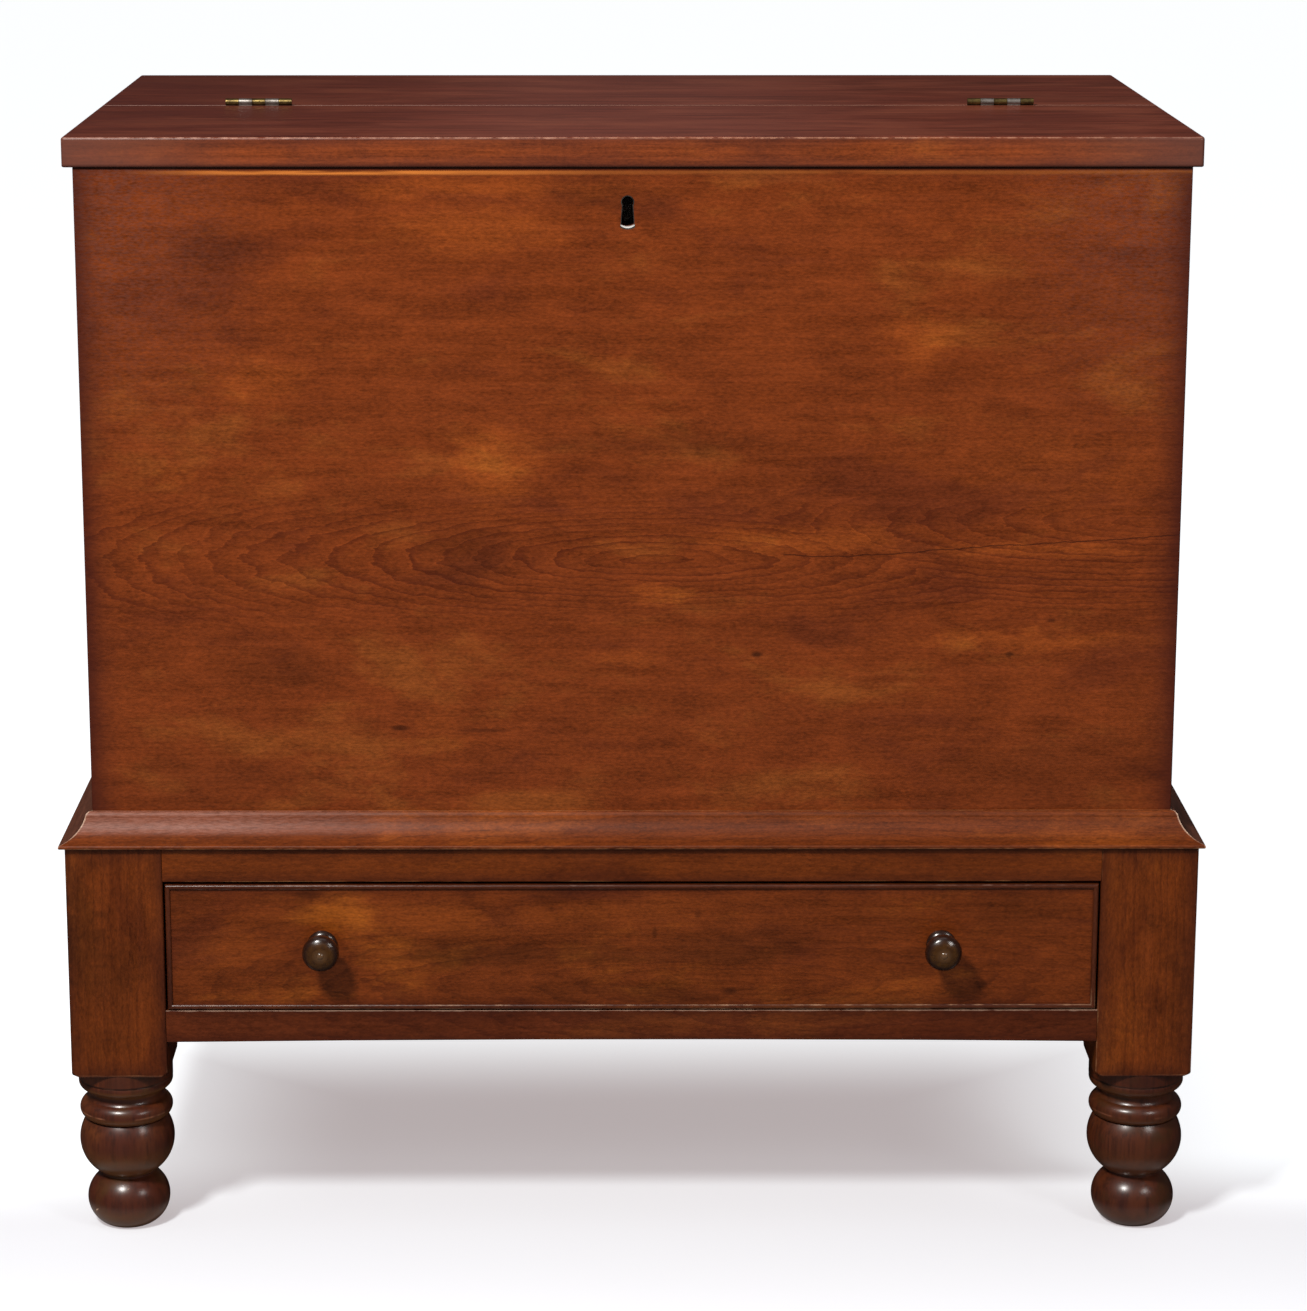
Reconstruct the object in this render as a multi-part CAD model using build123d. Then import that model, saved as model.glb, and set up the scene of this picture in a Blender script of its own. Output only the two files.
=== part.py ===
from build123d import *
import os

# A lift-lid sugar chest on a turned stand with one drawer.
# Millimetres, +X to the right, +Y to the back, +Z up. The origin is on the floor,
# under the middle of the whole object's box.

# Case: four boards, dovetailed at the corners
case_width = 848.0
case_depth = 511.0
case_show_height = 505.5      # from the top of the waist moulding to the case's top edge
case_board = 22.0
back_board = 19.0
case_lap = 5.0                # wood of the front that hides the ends of the tails
case_tail_pitch = 59.0
case_tail_slope = 0.17
case_tail_share = 0.68        # of the pitch, at the wide end of a tail
case_edge_radius = 1.2

# Inside of the case
cleat_size = 18.0
bottom_thickness = 15.0
bottom_tongue = 6.0
bottom_front_share = 0.52
divider_share = 0.16          # of the case's width, from its middle
divider_thickness = 12.0
divider_housing = 6.0
divider_drop = 14.0           # from the case's top edge down to the divider
top_block_size = 20.0
top_block_length = 70.0
top_block_shares = (-0.6, 0.0, 0.68)   # of the case's inner half width, along the back

# Top: a lid that folds back on a fixed rear board
top_thickness = 23.0
lid_depth = 242.0
seam_gap = 1.0
lid_rest_gap = 0.3
top_side_overhang = 8.0
top_front_overhang = 2.0
top_rear_overhang = 4.0
top_edge_radius = 2.4
top_lower_radius = 1.2
top_corner_radius = 3.0

# Stand: four legs, each a square post over a turned foot
post_size = 76.0
stand_proud = 20.0            # of the case, at the front and the sides
post_edge_radius = 1.5
upper_rail_height = 27.5
opening_height = 106.0
lower_rail_height = 26.5
leg_drop = 29.0               # of the post below the lower rail
rail_depth = 36.0
rail_arch = 2.0
rail_edge_radius = 0.8
panel_thickness = 22.0
tenon_length = 32.0
tenon_thickness = 10.0
tenon_setback = 9.0
tenon_shoulder = 4.0
panel_tenon_height = 56.0

# Turned foot, from the floor up
pad_radius = 20.0
toe_radius = 33.0
toe_height = 42.0
ankle_radius = 21.5
ankle_height = 1.6
ball_radius = 37.9
ball_height = 46.4
ball_fullest = 0.62           # share of its height where the ball is widest
ball_top_radius = 32.5
ring_fillet_radius = 31.3
ring_fillet_height = 1.6
ring_low_radius = 33.6
ring_radius = 37.1
ring_fullest = 0.43
ring_height = 15.0
neck_radius = 29.4
neck_end_radius = 31.2        # where the neck runs into the ring and the lip
neck_height = 8.6
lip_top_radius = 37.1
lip_height = 8.8
lip_turn_radius = 36.4        # a point on the lip's curve, and how high up the lip it lies
lip_turn_share = 0.27
collar_radius = 37.8
collar_height = 11.0
shoulder_radius = 50.0
shoulder_rise = 7.0
shoulder_reach = 4.2
shoulder_belly = 0.45         # share of its rise where the shoulder's curve has most of its reach

# Waist moulding, between the stand and the case
moulding_projection = 24.5
moulding_height = 25.0
moulding_ledge = 2.6
moulding_nose = 3.4
moulding_break = 4.4          # height of the convex shoulder at its top
moulding_break_run = 2.7
cove_run_share = 0.37         # how the cove hangs between its two ends
cove_drop_share = 0.63

# Drawer
drawer_side_gap = 1.6
drawer_top_gap = 2.2
drawer_front_lift = 0.8
drawer_run_gap = 0.3
drawer_front_thickness = 20.0
drawer_face_inset = 1.0
drawer_wall = 11.0
drawer_wall_drop = 2.5        # of the drawer's sides below its front's top edge
drawer_floor = 9.0
drawer_floor_edge = 5.0
drawer_floor_bevel = 22.0
drawer_floor_rise = 9.0       # from the bottom of the sides to the groove
drawer_groove = 5.0
drawer_tail_pitch = 30.5
drawer_tail_slope = 0.18
drawer_tail_share = 0.70
drawer_lap = 4.5
bead_strip_width = 4.2
bead_strip_depth = 8.0
bead_strip_proud = 2.0
stop_length = 24.0
stop_width = 20.0
stop_height = 14.0
runner_thickness = 20.0
runner_reach = 26.0           # of the runner inside the drawer's opening
guide_height = 26.0
guide_gap = 0.4

# Turned knobs
knob_share = 0.6645           # of the drawer front's width, between the two knobs
knob_rise = 2.0               # above the middle of the drawer's front
knob_collar_radius = 11.4
knob_collar_swell = 0.5
knob_collar_height = 2.8
knob_neck_radius = 7.6
knob_neck_top_radius = 9.2
knob_neck_height = 9.0
knob_head_radius = 14.5
knob_head_height = 18.2
knob_back_radius = 13.2       # a point on the curve of the head's back, and how far out it lies
knob_back_share = 0.28
knob_rim_share = 0.6
knob_brow_radius = 13.6       # a point on the curve between the rim and the face
knob_brow_drop = 4.6
knob_face_radius = 11.0
knob_face_drop = 2.2
knob_pip_radius = 2.7
knob_pip_height = 1.1
knob_spigot_radius = 6.0
spigot_gap = 0.05

# Butt hinges, standing in the seam of the top
hinge_length = 54.0
hinge_share = 0.7014          # of the top's width, between the two hinges
hinge_barrel_radius = 2.75
hinge_pin_radius = 1.25
hinge_pin_gap = 0.05
hinge_barrel_lift = 0.15
hinge_knuckles = 5
hinge_knuckle_gap = 0.3
hinge_leaf_thickness = 1.4
hinge_leaf_gap = 0.6
hinge_leaf_height = 18.0
hinge_leaf_ease = 0.1
hinge_screw_high_share = 0.36  # of a leaf's height, down to its screws
hinge_screw_low_share = 0.72
hinge_screw_reach_share = 0.34

# Screws
screw_head_radius = 3.2
screw_head_height = 1.3
screw_shank_radius = 1.5
screw_length = 14.0
screw_slot_width = 0.8
screw_slot_depth = 0.6
screw_gap = 0.05

# Chest lock, let into the inside of the front
lock_x = -4.0
keyhole_drop = 21.8           # from the case's top edge to the top of the keyhole
keyhole_head_radius = 4.4
keyhole_waist = 7.1
keyhole_foot = 9.8
keyhole_length = 23.2
keyhole_foot_arc = 1.6
liner_wall = 0.7
liner_foot = 2.2              # of the liner under the hole
liner_depth = 4.0
lock_width = 60.0
lock_height = 52.0
lock_depth = 14.0
lock_wall = 1.5
lock_plate_width = 84.0
lock_plate_thickness = 1.8
lock_ease = 0.2
selvage_width = 66.0
selvage_thickness = 2.0
selvage_screw_inset = 5.0
key_pin_radius = 1.6
key_pin_reach = 7.0
staple_spacing = 26.0
staple_thickness = 3.0
staple_width = 7.0
staple_length = 12.0
staple_wall = 1.5
staple_swing = 2.4            # room in front of a staple for the lid's arc
strike_width = 54.0
strike_depth = 13.0
strike_thickness = 2.0
strike_screw_spacing = 44.0
bolt_thickness = 2.6
bolt_bar_height = 6.0
bolt_finger = 8.0
bolt_finger_height = 3.2
bolt_post = 4.5
bolt_rest_gap = 1.0
bolt_run_gap = 0.2
bolt_notch_share = 0.4        # of the bar's height, for the key's bit

# Clearance of glued and seated joints
joint_gap = 0.1

# Levels, from the floor up
foot_height = (toe_height + ankle_height + ball_height + ring_fillet_height
               + ring_height + neck_height + lip_height + collar_height)
lower_rail_bottom = foot_height + leg_drop
opening_bottom = lower_rail_bottom + lower_rail_height
opening_top = opening_bottom + opening_height
stand_top = opening_top + upper_rail_height
case_top = stand_top + moulding_height + case_show_height
lid_bottom = case_top + lid_rest_gap
top_face = lid_bottom + top_thickness
hinge_axis_z = top_face + hinge_barrel_lift + hinge_barrel_radius

# Places across and along the object
case_half = case_width / 2
stand_half = case_half + stand_proud
opening_half = stand_half - post_size
drawer_half = opening_half - drawer_side_gap
top_half = case_half + top_side_overhang
divider_x = case_width * divider_share
knob_spacing = 2 * drawer_half * knob_share
hinge_spacing = 2 * top_half * hinge_share
knob_length = (knob_collar_height + knob_neck_height + knob_head_height
               + knob_pip_height)
depth_before_case = stand_proud - drawer_face_inset + knob_length
front = depth_before_case - (depth_before_case + case_depth + top_rear_overhang) / 2
back = front + case_depth
stand_front = front - stand_proud
drawer_face = stand_front + drawer_face_inset
front_inner = front + case_board
back_inner = back - back_board
side_inner = case_half - case_board
panel_inner = stand_half - panel_thickness
stand_back_inner = back - panel_thickness
lid_front = front - top_front_overhang
seam_y = lid_front + lid_depth + seam_gap / 2
drawer_bottom = opening_bottom + drawer_front_lift
drawer_top = opening_top - drawer_top_gap
drawer_run = opening_bottom + drawer_run_gap
drawer_wall_top = drawer_top - drawer_wall_drop
drawer_back = stand_back_inner - stop_length - drawer_run_gap
far = 2000.0                  # longer than the object, for cutting tools

sides = {"left": -1, "right": 1}


def block(x0, x1, y0, y1, z0, z1):
    """A box between two values on each axis, in either order."""
    middle = Pos((x0 + x1) / 2, (y0 + y1) / 2, (z0 + z1) / 2)
    return middle * Box(abs(x1 - x0), abs(y1 - y0), abs(z1 - z0))


def mirrored(side, x0, x1, *rest):
    """A block given for the right-hand side, on either side."""
    return block(side * x0, side * x1, *rest)


def upright_edges(shape, x, y, reach=0.01):
    """The shape's vertical edges at one corner in plan."""
    return [e for e in shape.edges().filter_by(Axis.Z)
            if abs(e.center().X - x) < reach and abs(e.center().Y - y) < reach]


def edges_at(shape, axis, value, reach=0.01):
    """The shape's edges that lie in one plane across an axis."""
    picked = {Axis.X: lambda p: p.X, Axis.Y: lambda p: p.Y, Axis.Z: lambda p: p.Z}[axis]
    low = lambda e: picked(e.bounding_box().min)
    high = lambda e: picked(e.bounding_box().max)
    return [e for e in shape.edges() if abs(low(e) - value) < reach and abs(high(e) - value) < reach]


def screw(at, towards, length=screw_length):
    """A countersunk wood screw, its head's face at a point and its shank running along a direction."""
    head = Pos(0, 0, screw_head_height / 2) * Cone(screw_head_radius, screw_shank_radius, screw_head_height)
    shank = Pos(0, 0, length / 2) * Cylinder(screw_shank_radius, length)
    slot = Box(2 * screw_head_radius, screw_slot_width, 2 * screw_slot_depth)
    return Plane(origin=at, z_dir=towards) * (head + shank - slot)


def screw_hole(at, towards, length=screw_length):
    """The countersunk hole that such a screw fills, with a little clearance."""
    wide = screw_head_radius + screw_gap
    narrow = screw_shank_radius + screw_gap
    head = Pos(0, 0, screw_head_height / 2) * Cone(wide, narrow, screw_head_height)
    shank = Pos(0, 0, (length + screw_gap) / 2) * Cylinder(narrow, length + screw_gap)
    return Plane(origin=at, z_dir=towards) * (head + shank)


# ---- dovetails

def tail_levels(z0, z1, pitch):
    """The middles of the tails that fit between two levels, with half pins at the ends."""
    count = max(2, round((z1 - z0) / pitch))
    step = (z1 - z0) / count
    return [z0 + step * (i + 0.5) for i in range(count)], step


def tails(x0, x1, y_root, y_end, z0, z1, pitch, share, slope, gap=0.0):
    """Dovetail tails along Y from their root to their wider end, through the board's thickness in X."""
    levels, step = tail_levels(z0, z1, pitch)
    length = abs(y_end - y_root)
    wide = step * share / 2 + gap
    narrow = wide - length * slope
    made = None
    for z in levels:
        corners = [(y_root, z - narrow), (y_end, z - wide), (y_end, z + wide), (y_root, z + narrow)]
        outline = Polyline(*corners, close=True)
        tail = Pos(x0, 0, 0) * extrude(Plane.YZ * make_face(outline), x1 - x0)
        made = tail if made is None else made + tail
    return made


# ---- stand

def foot_outline():
    """Half section of the turned foot, radius against height, from the floor to the post."""
    ankle = toe_height + ankle_height
    ball_top = ankle + ball_height
    ring_low = ball_top + ring_fillet_height
    ring_top = ring_low + ring_height
    lip_low = ring_top + neck_height
    lip_top = lip_low + lip_height
    toe = ThreePointArc((pad_radius, 0), (toe_radius, toe_height / 2), (ankle_radius, toe_height))
    ankle_line = Line(toe @ 1, (ankle_radius, ankle))
    ball_middle = (ball_radius, ankle + ball_height * ball_fullest)
    ball = ThreePointArc(ankle_line @ 1, ball_middle, (ball_top_radius, ball_top))
    step = Polyline(ball @ 1, (ring_fillet_radius, ball_top), (ring_fillet_radius, ring_low),
                    (ring_low_radius, ring_low))
    ring_middle = (ring_radius, ring_low + ring_height * ring_fullest)
    ring = ThreePointArc(step @ 1, ring_middle, (neck_end_radius, ring_top))
    neck = ThreePointArc(ring @ 1, (neck_radius, ring_top + neck_height / 2), (neck_end_radius, lip_low))
    lip_turn = (lip_turn_radius, lip_low + lip_height * lip_turn_share)
    lip = ThreePointArc(neck @ 1, lip_turn, (lip_top_radius, lip_top))
    rest = Polyline(lip @ 1, (collar_radius, lip_top), (collar_radius, foot_height), (0, foot_height),
                    (0, 0), (pad_radius, 0))
    return [toe, ankle_line, ball, step, ring, neck, lip, rest]


def turned_foot():
    """The foot as it comes off the lathe, on the Z axis."""
    section = Plane.XZ * make_face(foot_outline())
    return revolve(section, Axis.Z)


def square_post():
    """The post above the foot, its lower corners rounded by the lathe."""
    half = post_size / 2
    post = block(-half, half, -half, half, foot_height, stand_top)
    corners = [e for e in post.edges().filter_by(Axis.Z)]
    post = fillet(corners, post_edge_radius)
    outer = shoulder_radius + shoulder_reach
    top = foot_height + shoulder_rise
    belly = (shoulder_radius + shoulder_reach * 2 / 3, foot_height + shoulder_rise * shoulder_belly)
    curve = ThreePointArc((shoulder_radius, foot_height), belly, (outer, top))
    outline = Polyline(curve @ 1, (post_size, top), (post_size, foot_height), curve @ 0)
    return post - revolve(Plane.XZ * make_face([curve, outline]), Axis.Z)


def rail_tenons(side, z0, z1, gap=0.0):
    """A front rail's tenon in the post on one side."""
    return mirrored(side, opening_half, opening_half + tenon_length + gap,
                    stand_front + tenon_setback - gap, stand_front + tenon_setback + tenon_thickness + gap,
                    z0 + tenon_shoulder - gap, z1 - tenon_shoulder + gap)


def panel_tenon_levels():
    """Where the two tenons at each end of a stand panel start."""
    return [lower_rail_bottom + tenon_shoulder, stand_top - tenon_shoulder - panel_tenon_height]


def side_tenons(side, end, gap=0.0):
    """A side panel's two tenons in the post at one end, -1 for the front and 1 for the back."""
    root = stand_front + post_size if end < 0 else back - post_size
    made = None
    outer = stand_half - tenon_setback
    for z in panel_tenon_levels():
        tenon = mirrored(side, outer + gap, outer - tenon_thickness - gap,
                         root, root + end * (tenon_length + gap), z - gap, z + panel_tenon_height + gap)
        made = tenon if made is None else made + tenon
    return made


def back_tenons(side, gap=0.0):
    """The back panel's two tenons in the rear post on one side."""
    made = None
    for z in panel_tenon_levels():
        tenon = mirrored(side, opening_half, opening_half + tenon_length + gap,
                         back - tenon_setback + gap, back - tenon_setback - tenon_thickness - gap,
                         z - gap, z + panel_tenon_height + gap)
        made = tenon if made is None else made + tenon
    return made


def leg(side, end):
    """One leg, post and foot from one piece, with the mortises of its two sides."""
    y = stand_front + post_size / 2 if end < 0 else back - post_size / 2
    x = side * (stand_half - post_size / 2)
    made = Pos(x, y, 0) * (square_post() + turned_foot())
    made -= side_tenons(side, end, joint_gap)
    if end < 0:
        made -= rail_tenons(side, opening_top, stand_top, joint_gap)
        made -= rail_tenons(side, lower_rail_bottom, opening_bottom, joint_gap)
    else:
        made -= back_tenons(side, joint_gap)
    return made


def front_rail(z0, z1, arch=0.0):
    """A rail across the front, its edges eased and its lower edge arched, tenoned into both legs."""
    rail = block(-opening_half, opening_half, stand_front, stand_front + rail_depth, z0, z1)
    if arch:
        curve = ThreePointArc((-opening_half, z0), (0, z0 + arch), (opening_half, z0))
        hollow = extrude(Plane.XZ * make_face([curve, Line(curve @ 1, curve @ 0)]), rail_depth)
        rail -= Pos(0, stand_front + rail_depth, 0) * hollow
    long = [e for e in edges_at(rail, Axis.Y, stand_front) if e.length > opening_half]
    rail = fillet(long, rail_edge_radius)
    return rail + rail_tenons(-1, z0, z1) + rail_tenons(1, z0, z1)


def side_panel(side):
    """The board between the two legs of one side."""
    board = mirrored(side, panel_inner, stand_half, stand_front + post_size, back - post_size,
                     lower_rail_bottom, stand_top)
    return board + side_tenons(side, -1) + side_tenons(side, 1)


def back_panel():
    """The board across the back of the stand."""
    board = block(-opening_half, opening_half, stand_back_inner, back, lower_rail_bottom, stand_top)
    return board + back_tenons(-1) + back_tenons(1)


def drawer_rail(side, z0, z1):
    """A runner or kicker, from the front rail to the back panel, filled out sideways between the legs."""
    inner = mirrored(side, opening_half - runner_reach, opening_half, stand_front + rail_depth,
                     stand_back_inner, z0, z1)
    outer = mirrored(side, opening_half, panel_inner, stand_front + post_size, back - post_size, z0, z1)
    return inner + outer


def drawer_guide(side):
    """The strip on a runner that keeps the drawer straight."""
    return mirrored(side, opening_half + guide_gap, panel_inner, stand_front + post_size, back - post_size,
                    opening_bottom, opening_bottom + guide_height)


def drawer_stops():
    """Two blocks on the runners, behind the drawer's sides."""
    outer = opening_half
    made = [mirrored(s, outer - stop_width, outer, stand_back_inner - stop_length, stand_back_inner,
                     opening_bottom, opening_bottom + stop_height) for s in sides.values()]
    return Compound(children=made)


# ---- waist moulding

def moulding_outline():
    """Section of the moulding, distance out from the case against height above the stand."""
    tip = moulding_projection
    nose = moulding_nose / 2
    height = moulding_height
    top = Line((0, 0), (0, height))
    ledge = Line(top @ 1, (moulding_ledge, height))
    brow_end = (moulding_ledge + moulding_break_run, height - moulding_break)
    brow_turn = (moulding_ledge + moulding_break_run * 0.6, height - moulding_break / 3)
    brow = ThreePointArc(ledge @ 1, brow_turn, brow_end)
    run = tip - nose - brow_end[0]
    drop = brow_end[1] - moulding_nose
    cove_turn = (brow_end[0] + run * cove_run_share, brow_end[1] - drop * cove_drop_share)
    cove = ThreePointArc(brow @ 1, cove_turn, (tip - nose, moulding_nose))
    bull = ThreePointArc(cove @ 1, (tip, nose), (tip - nose, 0))
    floor = Line(bull @ 1, top @ 0)
    return [top, ledge, brow, cove, bull, floor]


def moulding_strip(length):
    """A straight length of the moulding along X, its back on y = 0, its foot on z = 0, showing towards -Y."""
    section = Plane(origin=(length / 2, 0, 0), x_dir=(0, -1, 0), z_dir=(-1, 0, 0))
    placed = section * make_face(moulding_outline())
    return extrude(placed, length)


def keep_corner(shape, corner, direction):
    """The part of a strip on one side of the 45 degree plane through a corner."""
    return split(shape, bisect_by=Plane(origin=corner, z_dir=direction), keep=Keep.TOP)


def moulding_front():
    """The front length, mitred at both ends."""
    strip = Pos(0, front, stand_top) * moulding_strip(far)
    strip = keep_corner(strip, (case_half, front, 0), (-1, -1, 0))
    return keep_corner(strip, (-case_half, front, 0), (1, -1, 0))


def moulding_side(side):
    """A side length, mitred at the front and cut square at the back."""
    turned = Rot(0, 0, 90 * side) * moulding_strip(far)
    strip = Pos(side * case_half, 0, stand_top) * turned
    strip = keep_corner(strip, (side * case_half, front, 0), (side, 1, 0))
    return split(strip, bisect_by=Plane(origin=(0, back, 0), z_dir=(0, -1, 0)), keep=Keep.TOP)


# ---- case

def case_tails(side, at_front, gap=0.0):
    """The tails of a case side at its front or back end."""
    if at_front:
        root, end = front_inner, front + case_lap
    else:
        root, end = back_inner, back
    x0, x1 = sorted((side * side_inner, side * case_half))
    return tails(x0 - gap, x1 + gap, root, end, stand_top, case_top, case_tail_pitch,
                 case_tail_share, case_tail_slope, gap)


def case_side(side):
    """A side board: long grain between the front and the back, with tails at both ends."""
    board = mirrored(side, side_inner, case_half, front_inner, back_inner, stand_top, case_top)
    return board + case_tails(side, True) + case_tails(side, False)


def divider_housings():
    """The grooves in the front and the back that hold the divider."""
    half = divider_thickness / 2 + joint_gap
    z0 = stand_top + cleat_size + bottom_thickness
    depth = divider_housing + joint_gap
    front_groove = block(divider_x - half, divider_x + half, front_inner - depth, front_inner, z0, case_top)
    back_groove = block(divider_x - half, divider_x + half, back_inner, back_inner + depth, z0, case_top)
    return front_groove + back_groove


def keyhole_outline(grow=0.0, grow_foot=0.0):
    """The keyhole's outline in the X-Z plane, round at the top and flared at the foot."""
    top = case_top - keyhole_drop
    centre = top - keyhole_head_radius
    head = Pos(lock_x, centre) * Circle(keyhole_head_radius + grow)
    waist = keyhole_waist / 2 + grow
    foot = keyhole_foot / 2 + grow
    low = top - keyhole_length + keyhole_foot_arc - grow_foot
    flanks = Polyline((lock_x - foot, low), (lock_x - waist, centre),
                      (lock_x + waist, centre), (lock_x + foot, low))
    arc = ThreePointArc((lock_x + foot, low), (lock_x, low - keyhole_foot_arc), (lock_x - foot, low))
    return head + make_face([flanks, arc])


def keyhole(y0, y1, grow=0.0, grow_foot=0.0):
    """The keyhole as a solid between two places along Y."""
    return Pos(0, y1, 0) * extrude(Plane.XZ * keyhole_outline(grow, grow_foot), y1 - y0)


def lock_recess():
    """The room in the front for the lock's case, back plate and selvage."""
    inner = front_inner
    deep = inner - lock_depth - lock_ease
    low = case_top - lock_height - lock_ease
    room_half = lock_width / 2 + lock_ease
    plate_half = lock_plate_width / 2 + lock_ease
    edge_half = selvage_width / 2 + lock_ease
    room = block(lock_x - room_half, lock_x + room_half, deep, inner, low, case_top)
    plate_face = inner - lock_plate_thickness
    plate = block(lock_x - plate_half, lock_x + plate_half, plate_face, inner, low, case_top)
    edge = block(lock_x - edge_half, lock_x + edge_half, deep, inner, case_top - selvage_thickness, case_top)
    return room + plate + edge


def lock_screw_points():
    """Where the back plate's screws start."""
    x = (lock_width + lock_plate_width) / 4
    low = case_top - lock_height
    high = case_top - selvage_thickness - case_edge_radius
    heights = (low + selvage_screw_inset, high - selvage_screw_inset)
    return [(lock_x + s * x, front_inner, z) for s in (-1, 1) for z in heights]


def case_front():
    """The front board: sockets for the sides' tails, the keyhole and the lock's recess."""
    board = block(-case_half, case_half, front, front_inner, stand_top, case_top)
    for side in sides.values():
        board -= case_tails(side, True, joint_gap)
    corners = upright_edges(board, -case_half, front) + upright_edges(board, case_half, front)
    board = fillet(corners, case_edge_radius)
    board -= divider_housings()
    board -= lock_recess()
    board -= keyhole(front, front_inner)
    board -= keyhole(front, front + liner_depth, liner_wall, liner_foot)
    for at in lock_screw_points():
        board -= screw_hole(at, (0, -1, 0))
    return board


def case_back():
    """The back board, with sockets right through for the sides' tails."""
    board = block(-case_half, case_half, back_inner, back, stand_top, case_top)
    for side in sides.values():
        board -= case_tails(side, False, joint_gap)
    return board - divider_housings()


def bottom_cleats():
    """Strips round the foot of the case that carry its bottom boards."""
    z0, z1 = stand_top, stand_top + cleat_size
    long = side_inner
    made = [block(-long, long, front_inner, front_inner + cleat_size, z0, z1),
            block(-long, long, back_inner - cleat_size, back_inner, z0, z1)]
    for s in sides.values():
        made.append(mirrored(s, side_inner - cleat_size, side_inner, front_inner + cleat_size,
                             back_inner - cleat_size, z0, z1))
    return Compound(children=made)


def bottom_joint_y():
    """Where the two bottom boards meet."""
    return front_inner + (back_inner - front_inner) * bottom_front_share


def bottom_board(front_half):
    """One of the two bottom boards: the rear one has a tongue, the front one its groove."""
    z0 = stand_top + cleat_size
    z1 = z0 + bottom_thickness
    meet = bottom_joint_y()
    half = side_inner - joint_gap
    third = bottom_thickness / 3
    if front_half:
        board = block(-half, half, front_inner + joint_gap, meet, z0, z1)
        return board - block(-half, half, meet - bottom_tongue - joint_gap, meet, z0 + third, z1 - third)
    board = block(-half, half, meet + joint_gap, back_inner - joint_gap, z0, z1)
    tongue = block(-half, half, meet - bottom_tongue, meet + joint_gap,
                   z0 + third + joint_gap, z1 - third - joint_gap)
    return board + tongue


def bin_divider():
    """The board that parts the two bins, slid down into its housings."""
    half = divider_thickness / 2
    return block(divider_x - half, divider_x + half,
                 front_inner - divider_housing, back_inner + divider_housing,
                 stand_top + cleat_size + bottom_thickness, case_top - divider_drop)


# ---- top

def top_board(y0, y1, corner_y, bottom):
    """A board of the top with eased edges, and two rounded corners at one long edge."""
    board = block(-top_half, top_half, y0, y1, bottom, top_face)
    corners = upright_edges(board, -top_half, corner_y) + upright_edges(board, top_half, corner_y)
    board = fillet(corners, top_corner_radius)
    seam = y1 if corner_y == y0 else y0
    upper = [e for e in edges_at(board, Axis.Z, top_face) if abs(e.center().Y - seam) > top_corner_radius]
    board = fillet(upper, top_edge_radius)
    lower = [e for e in edges_at(board, Axis.Z, bottom) if abs(e.center().Y - seam) > top_corner_radius]
    return fillet(lower, top_lower_radius)


def hinge_gain(centre, direction):
    """The gain in a board's edge that takes one leaf of a hinge."""
    half = hinge_length / 2 + hinge_leaf_ease
    inner = seam_y + direction * (hinge_leaf_gap / 2 + hinge_leaf_thickness + hinge_leaf_ease)
    low = top_face - hinge_leaf_height - hinge_leaf_ease
    return block(centre - half, centre + half, seam_y, inner, low, top_face)


def hinge_screw_points(centre, direction):
    """The faces of the three screws of one leaf."""
    y = seam_y + direction * hinge_leaf_gap / 2
    high = top_face - hinge_leaf_height * hinge_screw_high_share
    low = top_face - hinge_leaf_height * hinge_screw_low_share
    reach = hinge_length * hinge_screw_reach_share
    return [(centre - reach, y, high), (centre, y, low), (centre + reach, y, high)]


def hinge_centres():
    return [-hinge_spacing / 2, hinge_spacing / 2]


def cut_hinges(board, direction):
    """The board with the gains and screw holes of both hinges."""
    for centre in hinge_centres():
        board -= hinge_gain(centre, direction)
        for at in hinge_screw_points(centre, direction):
            board -= screw_hole(at, (0, direction, 0))
    return board


def rear_board():
    """The fixed rear half of the top, down on the case."""
    end = back + top_rear_overhang
    return cut_hinges(top_board(seam_y + seam_gap / 2, end, end, case_top), 1)


def strike_recess():
    """The shallow recess under the lid for the strike plate."""
    half = strike_width / 2 + joint_gap
    y0, y1 = strike_place()
    return block(lock_x - half, lock_x + half, y0 - joint_gap, y1 + joint_gap,
                 lid_bottom, lid_bottom + strike_thickness + joint_gap)


def lid():
    """The hinged front half of the top."""
    board = top_board(lid_front, seam_y - seam_gap / 2, lid_front, lid_bottom)
    board -= strike_recess()
    for at in strike_screw_points():
        board -= screw_hole(at, (0, 0, 1))
    return cut_hinges(board, -1)


def top_blocks():
    """Glue blocks that hold the rear board to the case's back and sides."""
    size, half = top_block_size, top_block_length / 2
    z0, z1 = case_top - size, case_top
    made = []
    for x in [side_inner * share for share in top_block_shares]:
        made.append(block(x - half, x + half, back_inner - size, back_inner, z0, z1))
    middle = (seam_y + back_inner) / 2
    for s in sides.values():
        made.append(mirrored(s, side_inner - size, side_inner, middle - half, middle + half, z0, z1))
    return Compound(children=made)


# ---- hinges

def knuckle_spans(centre):
    """The spans of a hinge's knuckles along X, from left to right."""
    length = (hinge_length - (hinge_knuckles - 1) * hinge_knuckle_gap) / hinge_knuckles
    start = centre - hinge_length / 2
    step = length + hinge_knuckle_gap
    return [(start + i * step, start + i * step + length) for i in range(hinge_knuckles)]


def hinge_rod(x, radius, length):
    """A cylinder on the hinges' axis."""
    return Pos(x, seam_y, hinge_axis_z) * Rot(0, 90, 0) * Cylinder(radius, length)


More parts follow.
